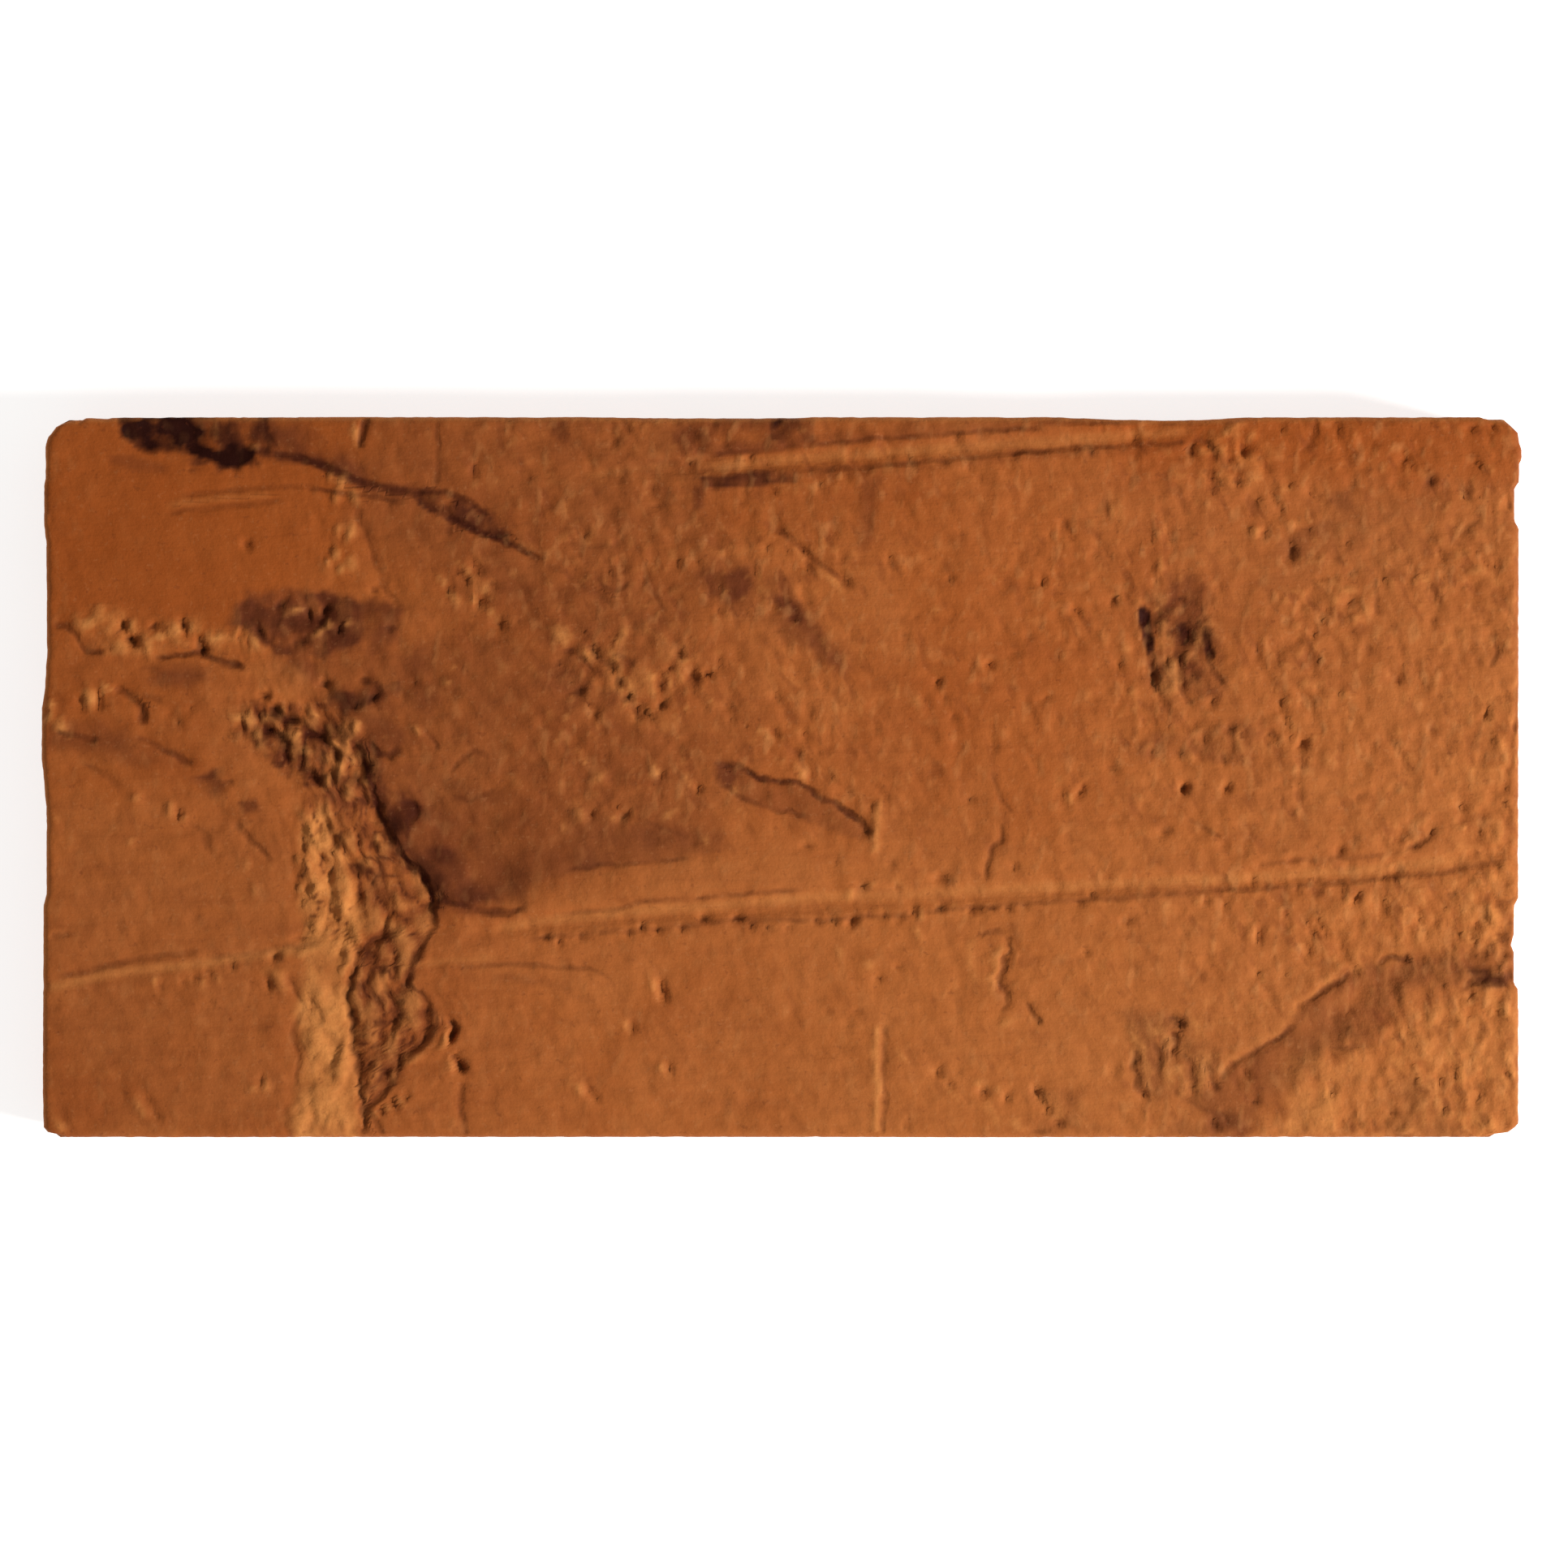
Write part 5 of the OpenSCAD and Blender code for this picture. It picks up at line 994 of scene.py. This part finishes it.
# ---------------------------------------------------------------------------
# Mesh: the face, the sides down to the back's chamfer, then a plain back
# ---------------------------------------------------------------------------
verts = [np.stack([X, Y, Z], -1).reshape(-1, 3)]
border = np.concatenate([
    np.arange(NX),
    np.arange(1, NY) * NX + NX - 1,
    (NY - 1) * NX + np.arange(NX - 2, -1, -1),
    np.arange(NY - 2, 0, -1) * NX,
])
NB = len(border)
rim = verts[0][border]
step = np.linalg.norm(np.roll(rim[:, :2], -1, 0) - rim[:, :2], axis=1)
arc = np.concatenate([[0], np.cumsum(step)[:-1]])
girth = arc[-1] + step[-1]
tangent = np.roll(rim[:, :2], -2, 0) - np.roll(rim[:, :2], 2, 0)
for _ in range(6):
    tangent = (tangent + np.roll(tangent, 1, 0) + np.roll(tangent, -1, 0)) / 3
tangent /= np.linalg.norm(tangent, axis=1)[:, None]
inward = np.stack([-tangent[:, 1], tangent[:, 0]], -1)

levels = [0.955, 0.87, 0.76, 0.64, 0.52, 0.4, 0.28, 0.15, 0.04]
rings = [border]
ring_level = [1.0]
count = NX * NY
ca, sa = np.cos(arc / girth * 2 * np.pi), np.sin(arc / girth * 2 * np.pi)
R = girth / (2 * np.pi)
for lv in levels:
    z = CHAMFER + lv * (rim[:, 2] - CHAMFER)
    q = smooth(0, 0.12, 1 - lv) * smooth(0, 0.06, lv)
    # noise on a ring, so that it has no seam; three slow drag lines run along the cut side
    n1 = fbm(R * ca + z * 0.9, R * sa + z * 0.5, 6.0, 3, 141)
    n2 = fbm(R * ca * 1.0 + z * 1.3, R * sa - z * 1.1, 1.6, 2, 145)
    n3 = fbm(z * 1.0 + 0 * ca, 0.04 * arc, 1.5, 2, 149)
    n4 = fbm(R * ca * 1.0 + z * 0.6, R * sa - z * 0.8, 2.6, 3, 153)
    inn = 0.20 + 0.24 * n1 + 0.12 * n2 + 0.10 * n3 + 0.45 * smooth(0.25, 0.8, n4)
    inn = np.clip(inn, 0.0, 0.85) * q
    verts.append(np.stack([rim[:, 0] + inward[:, 0] * inn, rim[:, 1] + inward[:, 1] * inn, z], -1))
    rings.append(np.arange(count, count + NB))
    ring_level.append(lv)
    count += NB
for depth_in, z in ((0.0, CHAMFER), (0.08, CHAMFER - 0.14), (0.4, 0.06), (0.62, 0.0)):
    verts.append(np.stack([rim[:, 0] + inward[:, 0] * depth_in, rim[:, 1] + inward[:, 1] * depth_in, np.full(NB, z)], -1))
    rings.append(np.arange(count, count + NB))
    ring_level.append(0.0)
    count += NB

faces = []
jj, ii = np.meshgrid(np.arange(NY - 1), np.arange(NX - 1), indexing="ij")
k0 = (jj * NX + ii).ravel()
faces.append(np.stack([k0, k0 + 1, k0 + NX + 1, k0 + NX], -1))
for upper, lower in zip(rings, rings[1:]):
    faces.append(np.stack([lower, np.roll(lower, -1), np.roll(upper, -1), upper], -1))
quads = np.concatenate(faces)

# the back: a coarse grid, zipped to the fine rim
bx = np.linspace(-HX + 3.2, HX - 3.2, 66)
by = np.linspace(-HY + 3.0, HY - 3.0, 32)
BX, BY = np.meshgrid(bx, by)
BX = BX + lookup(BY, LEFT) * near(BX + HX, 12) - lookup(BY, RIGHT) * near(HX - BX, 12)
nbx, nby = len(bx), len(by)
b0 = count
verts.append(np.stack([BX, BY, 0 * BX], -1).reshape(-1, 3))
count += nbx * nby
jj, ii = np.meshgrid(np.arange(nby - 1), np.arange(nbx - 1), indexing="ij")
k0 = (b0 + jj * nbx + ii).ravel()
back_quads = np.stack([k0, k0 + nbx, k0 + nbx + 1, k0 + 1], -1)
inner = b0 + np.concatenate([
    np.arange(nbx),
    np.arange(1, nby) * nbx + nbx - 1,
    (nby - 1) * nbx + np.arange(nbx - 2, -1, -1),
    np.arange(nby - 2, 0, -1) * nbx,
])
V = np.concatenate(verts)
outer = rings[-1]
tris = []
# both loops start at the lower left corner and run anticlockwise seen from above
corner_o = [0, NX - 1, NX + NY - 2, 2 * NX + NY - 3, NB]
corner_i = [0, nbx - 1, nbx + nby - 2, 2 * nbx + nby - 3, len(inner)]
for side in range(4):
    oi, ii_ = corner_o[side], corner_i[side]
    oe, ie = corner_o[side + 1], corner_i[side + 1]
    axis = 0 if side in (0, 2) else 1
    sign = 1 if side in (0, 1) else -1
    while oi < oe or ii_ < ie:
        o_next, i_next = outer[(oi + 1) % NB], inner[(ii_ + 1) % len(inner)]
        go_outer = oi < oe and (ii_ >= ie or sign * V[o_next][axis] <= sign * V[i_next][axis] + 1e-9)
        if go_outer:
            tris.append((outer[oi % NB], inner[ii_ % len(inner)], o_next))
            oi += 1
        else:
            tris.append((outer[oi % NB], inner[ii_ % len(inner)], i_next))
            ii_ += 1
tris = np.array(tris)

mesh = bpy.data.meshes.new("tile_body")
all_quads = np.concatenate([quads, back_quads])
n_q, n_t = len(all_quads), len(tris)
mesh.vertices.add(len(V))
mesh.vertices.foreach_set("co", (V / 1000).astype(np.float32).ravel())
mesh.loops.add(n_q * 4 + n_t * 3)
mesh.loops.foreach_set("vertex_index", np.concatenate([all_quads.ravel(), tris.ravel()]).astype(np.int32))
mesh.polygons.add(n_q + n_t)
starts = np.concatenate([np.arange(n_q) * 4, n_q * 4 + np.arange(n_t) * 3]).astype(np.int32)
mesh.polygons.foreach_set("loop_start", starts)
mesh.polygons.foreach_set("use_smooth", np.ones(n_q + n_t, bool))
mesh.update(calc_edges=True)
mesh.validate()
print("tile triangles", n_q * 2 + n_t, "vertices", len(V))

# ---------------------------------------------------------------------------
# Masks on the vertices
# ---------------------------------------------------------------------------


def per_vertex(face_field, side_value):
    out = np.empty(len(V))
    out[: NX * NY] = face_field.ravel()
    n = NX * NY
    for k in range(1, len(rings)):
        fade = max(0.0, 1 - k / 3)
        out[n:n + NB] = face_field.ravel()[border] * fade + side_value(V[n:n + NB], ring_level[k]) * (1 - fade)
        n += NB
    out[n:] = side_value(V[n:], 0.0)
    return np.clip(out, 0, 1)


def blotches(seed, lo, hi, wave):
    def f(v, lv):
        n = fbm(v[:, 0] + v[:, 2] * 0.7, v[:, 1] - v[:, 2] * 0.9, wave, 3, seed)
        return smooth(lo, hi, n)
    return f


data = {
    "STAIN": per_vertex(STAIN, lambda v, lv: 0.38 * blotches(161, 0.0, 0.7, 16)(v, lv)),
    "SOOT": per_vertex(SOOT, lambda v, lv: 0.10 * blotches(163, 0.3, 0.8, 5)(v, lv)),
    "PALE": per_vertex(PALE, lambda v, lv: 0.28 * blotches(165, 0.05, 0.7, 9)(v, lv)),
    "WARM": per_vertex(WARM, lambda v, lv: 0.45 * blotches(167, -0.2, 0.6, 22)(v, lv)),
    "ROUGH": per_vertex(np.clip(ROUGH + 0.3 * grit, 0, 1), lambda v, lv: 0.75 + 0 * v[:, 0]),
}
attr = mesh.color_attributes.new("clay", "FLOAT_COLOR", "POINT")
rgba = np.stack([data["STAIN"], data["SOOT"], data["PALE"], data["WARM"]], -1).astype(np.float32)
attr.data.foreach_set("color", rgba.ravel())
attr3 = mesh.color_attributes.new("lines", "FLOAT_COLOR", "POINT")
rgba = np.zeros((len(V), 4), np.float32)
rgba[:, 0], rgba[:, 2] = 1, 0.2
rgba[NX * NY:, 3] = 1
edge_fade = smooth(0.0, 0.5, np.minimum(dx_edge, dy_edge))
rgba[: NX * NY, 0] = np.clip(LINE_D / 8 + 0.5, 0, 1).ravel()
rgba[: NX * NY, 1] = (LINE_S * edge_fade).ravel()
rgba[: NX * NY, 2] = LINE_W.ravel()
attr3.data.foreach_set("color", rgba.ravel())
attr4 = mesh.attributes.new("gritty", "FLOAT", "POINT")
grit_all = per_vertex(np.clip(0.20 + 0.66 * grit * (0.45 + 0.55 * cluster), 0, 1) * (1 - 0.6 * calm), lambda v, lv: 0.3 + 0 * v[:, 0])
attr4.data.foreach_set("value", grit_all.astype(np.float32))
attr2 = mesh.attributes.new("crumbly", "FLOAT", "POINT")
attr2.data.foreach_set("value", data["ROUGH"].astype(np.float32))

# ---------------------------------------------------------------------------
# UV map: face above, back below, the side as one strip folded into rows
# ---------------------------------------------------------------------------
S = 224.0
uv_v = np.zeros((len(V), 2))


def arc_extra(d):
    mm = np.clip(1 - d / ARRIS, 0, 1)
    return ARRIS * (np.arcsin(mm) - mm)


ex = np.where(X < 0, -1, 1) * arc_extra(dx_edge)
ey = np.where(Y < 0, -1, 1) * arc_extra(dy_edge)
uv_v[: NX * NY, 0] = (X + ex).ravel() + 105
uv_v[: NX * NY, 1] = (Y + ey).ravel() + 170
n_loops = n_q * 4 + n_t * 3
loop_v = np.concatenate([all_quads.ravel(), tris.ravel()])
uv = uv_v[loop_v].copy()
face_loops = (NX - 1) * (NY - 1) * 4
# sides: rows by corner to corner runs
side_of = np.searchsorted(np.array(corner_o[1:]), np.arange(NB), side="right").clip(0, 3)
run_start = arc[np.array(corner_o[:4])]
heights = np.zeros(len(rings))
for k in range(1, len(rings)):
    heights[k] = heights[k - 1] + np.mean(np.linalg.norm(V[rings[k]] - V[rings[k - 1]], axis=1))
place = {0: (3, 98), 1: (3, 82), 2: (3, 66), 3: (110, 82)}
for k in range(len(rings) - 1):
    base = face_loops + k * NB * 4
    here, after = arc - run_start[side_of], arc - run_start[side_of] + step
    ox = np.array([place[q][0] for q in side_of])
    oy = np.array([place[q][1] for q in side_of])
    cu = np.stack([here, after, after, here], -1) + ox[:, None]
    cv = np.stack([oy + 15 - heights[k + 1], oy + 15 - heights[k + 1], oy + 15 - heights[k], oy + 15 - heights[k]], -1)
    uv[base:base + NB * 4, 0] = cu.ravel()
    uv[base:base + NB * 4, 1] = cv.ravel()
rest = face_loops + (len(rings) - 1) * NB * 4
shrink = 0.6
uv[rest:, 0] = (V[loop_v[rest:], 0] * -shrink) + 66
uv[rest:, 1] = (V[loop_v[rest:], 1] * shrink) + 33
layer = mesh.uv_layers.new(name="OFBake")
layer.data.foreach_set("uv", (uv / S).astype(np.float32).ravel())

tile = bpy.data.objects.new("tile_clay", mesh)
bpy.context.scene.collection.objects.link(tile)
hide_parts("tile")
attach(tile, "root")

# ---------------------------------------------------------------------------
# Material: fired clay
# ---------------------------------------------------------------------------


def srgb(r, g, b):
    def lin(c):
        c = c / 255
        return c / 12.92 if c <= 0.04045 else ((c + 0.055) / 1.055) ** 2.4
    return (lin(r), lin(g), lin(b), 1)


mat = bpy.data.materials.new("terracotta")
mat.use_nodes = True
nt = mat.node_tree
nt.nodes.clear()
N, K = nt.nodes.new, nt.links.new


def noise(scale, detail=3, rough=0.55, distortion=0.0, stretch=None, turn_z=0.0):
    n = N("ShaderNodeTexNoise")
    n.inputs["Scale"].default_value = scale
    n.inputs["Detail"].default_value = detail
    n.inputs["Roughness"].default_value = rough
    n.inputs["Distortion"].default_value = distortion
    if stretch:
        mp = N("ShaderNodeMapping")
        mp.inputs["Scale"].default_value = stretch
        mp.inputs["Rotation"].default_value = (0, 0, math.radians(turn_z))
        K(coord.outputs["Object"], mp.inputs["Vector"])
        K(mp.outputs["Vector"], n.inputs["Vector"])
    else:
        K(coord.outputs["Object"], n.inputs["Vector"])
    return n.outputs["Fac"]


def drawn(scale, deg, ratio, detail=2, rough=0.5):
    """Noise drawn out along a direction of the face."""
    n = N("ShaderNodeTexNoise")
    n.inputs["Scale"].default_value = scale
    n.inputs["Detail"].default_value = detail
    n.inputs["Roughness"].default_value = rough
    mp = N("ShaderNodeMapping")
    mp.vector_type = "TEXTURE"
    mp.inputs["Rotation"].default_value = (0, 0, math.radians(deg))
    mp.inputs["Scale"].default_value = (ratio, 1, 1)
    K(coord.outputs["Object"], mp.inputs["Vector"])
    K(mp.outputs["Vector"], n.inputs["Vector"])
    return n.outputs["Fac"]


def ranged(fac, lo, hi, a=0.0, b=1.0):
    r = N("ShaderNodeMapRange")
    r.inputs["From Min"].default_value = lo
    r.inputs["From Max"].default_value = hi
    r.inputs["To Min"].default_value = a
    r.inputs["To Max"].default_value = b
    K(fac, r.inputs["Value"])
    return r.outputs["Result"]


def mathn(op, a, b=None, clamp=False):
    n = N("ShaderNodeMath")
    n.operation = op
    n.use_clamp = clamp
    for k, v in ((0, a), (1, b)):
        if v is None:
            continue
        if isinstance(v, (int, float)):
            n.inputs[k].default_value = v
        else:
            K(v, n.inputs[k])
    return n.outputs[0]


def mix(fac, a, b, kind="MIX"):
    n = N("ShaderNodeMix")
    n.data_type = "RGBA"
    n.blend_type = kind
    n.clamp_factor = True
    for sock, v in ((n.inputs[0], fac), (n.inputs[6], a), (n.inputs[7], b)):
        if isinstance(v, (int, float, tuple)):
            sock.default_value = v
        else:
            K(v, sock)
    return n.outputs[2]


coord = N("ShaderNodeTexCoord")
clay = N("ShaderNodeAttribute")
clay.attribute_name = "clay"
sep = N("ShaderNodeSeparateColor")
K(clay.outputs["Color"], sep.inputs["Color"])
a_stain_and_shade, a_soot, a_pale, a_warm = sep.outputs[0], sep.outputs[1], sep.outputs[2], clay.outputs["Alpha"]
crumb = N("ShaderNodeAttribute")
crumb.attribute_name = "crumbly"
a_rough = crumb.outputs["Fac"]

big = noise(28, 3, 0.5)
mid_n = noise(120, 4, 0.6)
fine = noise(700, 3, 0.6)
streak = noise(60, 4, 0.6, stretch=(1.0, 7.0, 4.0), turn_z=28)

gritty = N("ShaderNodeAttribute")
gritty.attribute_name = "gritty"
a_grit = gritty.outputs["Fac"]
ticks = mathn("MULTIPLY", a_grit, ranged(drawn(540, 116, 1.9, 1), 0.56, 0.74))
flecks = mathn("MULTIPLY", a_grit, ranged(drawn(560, 82, 1.7, 1), 0.56, 0.74))

lines = N("ShaderNodeAttribute")
lines.attribute_name = "lines"
lsep = N("ShaderNodeSeparateColor")
K(lines.outputs["Color"], lsep.inputs["Color"])
ragged = mathn("MULTIPLY", mathn("SUBTRACT", noise(380, 1.5, 0.5), 0.5), 0.9)
dist = mathn("ABSOLUTE", mathn("ADD", mathn("MULTIPLY", mathn("SUBTRACT", lsep.outputs[0], 0.5), 8.0), ragged))
lr = N("ShaderNodeMapRange")
lr.interpolation_type = "SMOOTHSTEP"
K(dist, lr.inputs["Value"])
K(mathn("MULTIPLY", lsep.outputs[2], 0.2), lr.inputs["From Min"])
K(mathn("ADD", mathn("MULTIPLY", lsep.outputs[2], 1.1), 0.42), lr.inputs["From Max"])
lr.inputs["To Min"].default_value = 1.0
lr.inputs["To Max"].default_value = 0.0
line = mathn("MULTIPLY", mathn("MULTIPLY", lr.outputs["Result"], lsep.outputs[1]), ranged(noise(260, 3, 0.6), 0.35, 0.6, 0.45, 1.15), clamp=True)

base = mix(ranged(big, 0.35, 0.65), srgb(165, 87, 38), srgb(175, 96, 43))
base = mix(ranged(mid_n, 0.35, 0.75), base, srgb(180, 102, 50))
base = mix(mathn("MULTIPLY", ranged(streak, 0.45, 0.7), 0.4), base, srgb(148, 76, 34))
base = mix(mathn("MULTIPLY", a_warm, 0.9), base, srgb(160, 76, 23))
# stains, and the painted shade that shares their mask, follow the mask, broken up by a finer noise
st = mathn("MULTIPLY", a_stain_and_shade, ranged(mid_n, 0.3, 0.7, 0.85, 1.15), clamp=True)
stain_and_shade_colour = mix(ranged(noise(90, 3, 0.6), 0.35, 0.65), srgb(92, 40, 18), srgb(115, 57, 29))
base = mix(st, base, stain_and_shade_colour)
# light ochre, and painted light on the rims that fall in shade
pl = mathn("MULTIPLY", a_pale, ranged(fine, 0.3, 0.7, 0.75, 1.25), clamp=True)
base = mix(pl, base, srgb(212, 136, 72))
# near-black: dark stain, and painted shade in the pits, dents and cracks
so = ranged(mathn("ADD", a_soot, mathn("MULTIPLY", mathn("SUBTRACT", noise(430, 4, 0.65), 0.5), 0.5)), 0.1, 0.85)
so = mathn("MULTIPLY", so, ranged(a_soot, 0.02, 0.2), clamp=True)
base = mix(so, base, srgb(42, 9, 2))
# thin dark lines in the cracks and creases: painted shade
base = mix(line, base, srgb(58, 18, 6))
# the cut sides and the back are sandier, and painted darker: painted shade that evens out the key's stronger light on
# the sides; their holes are painted dark, painted shade in them
a_side = lines.outputs["Alpha"]
base = mix(mathn("MULTIPLY", a_side, ranged(noise(210, 5, 0.7), 0.42, 0.62, 0.35, 0.85)), base, srgb(122, 62, 31))
sand = mathn("MULTIPLY", a_side, ranged(noise(820, 4, 0.7), 0.52, 0.66))
base = mix(mathn("MULTIPLY", sand, 0.55), base, srgb(190, 118, 66))
holes = mathn("MULTIPLY", a_side, ranged(noise(470, 4, 0.7), 0.42, 0.33))
base = mix(mathn("MULTIPLY", holes, 0.75), base, srgb(66, 26, 12))
# small dents painted darker: painted shade in them
base = mix(mathn("MULTIPLY", ticks, 0.55), base, srgb(112, 52, 24))
base = mix(mathn("MULTIPLY", flecks, 0.38), base, srgb(208, 140, 82))
# fine speckle
speck = mathn("MULTIPLY", ranged(noise(1500, 2, 0.5), 0.62, 0.72), mathn("SUBTRACT", 1.0, so))
base = mix(mathn("MULTIPLY", speck, 0.10), base, srgb(214, 150, 98))
dark_speck = ranged(noise(1100, 2, 0.5), 0.34, 0.27)
base = mix(mathn("MULTIPLY", dark_speck, 0.25), base, srgb(96, 44, 22))

bsdf = N("ShaderNodeBsdfPrincipled")
K(base, bsdf.inputs["Base Color"])
rough = mathn("ADD", ranged(mid_n, 0.3, 0.7, 0.66, 0.78), mathn("MULTIPLY", a_rough, 0.14), clamp=True)
K(rough, bsdf.inputs["Roughness"])
bsdf.inputs["Specular IOR Level"].default_value = 0.1
bsdf.inputs["IOR"].default_value = 1.5

# small relief under the mesh's own
h1 = mathn("MULTIPLY", noise(1400, 3, 0.6), 0.6)
h2 = mathn("MULTIPLY", noise(420, 4, 0.65), mathn("ADD", mathn("MULTIPLY", a_rough, 1.6), 0.45))
h3 = mathn("MULTIPLY", noise(260, 4, 0.6, stretch=(1.0, 6.0, 3.0), turn_z=25), 0.8)
h4 = mathn("SUBTRACT", mathn("MULTIPLY", sand, 0.8), mathn("MULTIPLY", holes, 1.8))
h5 = mathn("MULTIPLY", mathn("SUBTRACT", flecks, ticks), 0.5)
hh = mathn("SUBTRACT", mathn("ADD", mathn("ADD", mathn("ADD", mathn("ADD", h1, h2), h3), h4), h5), mathn("MULTIPLY", line, 1.6))
bump = N("ShaderNodeBump")
bump.inputs["Strength"].default_value = 0.55
bump.inputs["Distance"].default_value = 0.00022
K(hh, bump.inputs["Height"])
K(bump.outputs["Normal"], bsdf.inputs["Normal"])
out = N("ShaderNodeOutputMaterial")
K(bsdf.outputs["BSDF"], out.inputs["Surface"])
mesh.materials.append(mat)

# ---------------------------------------------------------------------------
# Stage, light, camera
# ---------------------------------------------------------------------------
floor_mesh = bpy.data.meshes.new("floor")
floor_mesh.from_pydata([(-3, -3, 0), (3, -3, 0), (3, 3, 0), (-3, 3, 0)], [], [(0, 1, 2, 3)])
floor = bpy.data.objects.new("floor", floor_mesh)
floor.location.z = -0.0001
bpy.context.scene.collection.objects.link(floor)
fm = bpy.data.materials.new("floor_white")
fm.use_nodes = True
fb = fm.node_tree.nodes["Principled BSDF"]
fb.inputs["Base Color"].default_value = (0.86, 0.86, 0.86, 1)
fb.inputs["Roughness"].default_value = 0.9
fb.inputs["Specular IOR Level"].default_value = 0.1
fb.inputs["Emission Color"].default_value = (1, 1, 1, 1)
fb.inputs["Emission Strength"].default_value = 0.70
floor_mesh.materials.append(fm)

world = bpy.data.worlds.new("studio")
bpy.context.scene.world = world
world.use_nodes = True
bg = world.node_tree.nodes["Background"]
bg.inputs["Color"].default_value = (1.0, 0.965, 0.92, 1)
bg.inputs["Strength"].default_value = 0.30


def area(name, at, to, size, power, colour=(1, 1, 1)):
    ld = bpy.data.lights.new(name, "AREA")
    ld.shape = "DISK"
    ld.size = size
    ld.energy = power
    ld.color = colour
    lo = bpy.data.objects.new(name, ld)
    bpy.context.scene.collection.objects.link(lo)
    lo.location = at
    dvec = [t - q for t, q in zip(to, at)]
    from mathutils import Vector
    lo.rotation_euler = Vector(dvec).to_track_quat("-Z", "Y").to_euler()
    lo.visible_camera = False
    return lo


area("key", (0.86, -0.21, 0.50), (-0.03, 0, 0.0125), 0.20, 12.6, (1.0, 0.985, 0.95))

sc = bpy.context.scene
sc.view_settings.view_transform = "Standard"
sc.view_settings.look = "None"
sc.view_settings.exposure = 0.0
sc.view_settings.gamma = 1.0

cam_data = bpy.data.cameras.new("camera")
cam_data.lens = 100
cam_data.sensor_width = 36
cam_data.clip_start = 0.01
cam = bpy.data.objects.new("camera", cam_data)
sc.collection.objects.link(cam)
cam.location = (0.00033, -0.00094, 0.0125 + 0.21467 * 100 / 36)
cam.rotation_euler = (0, 0, 0)
sc.camera = cam
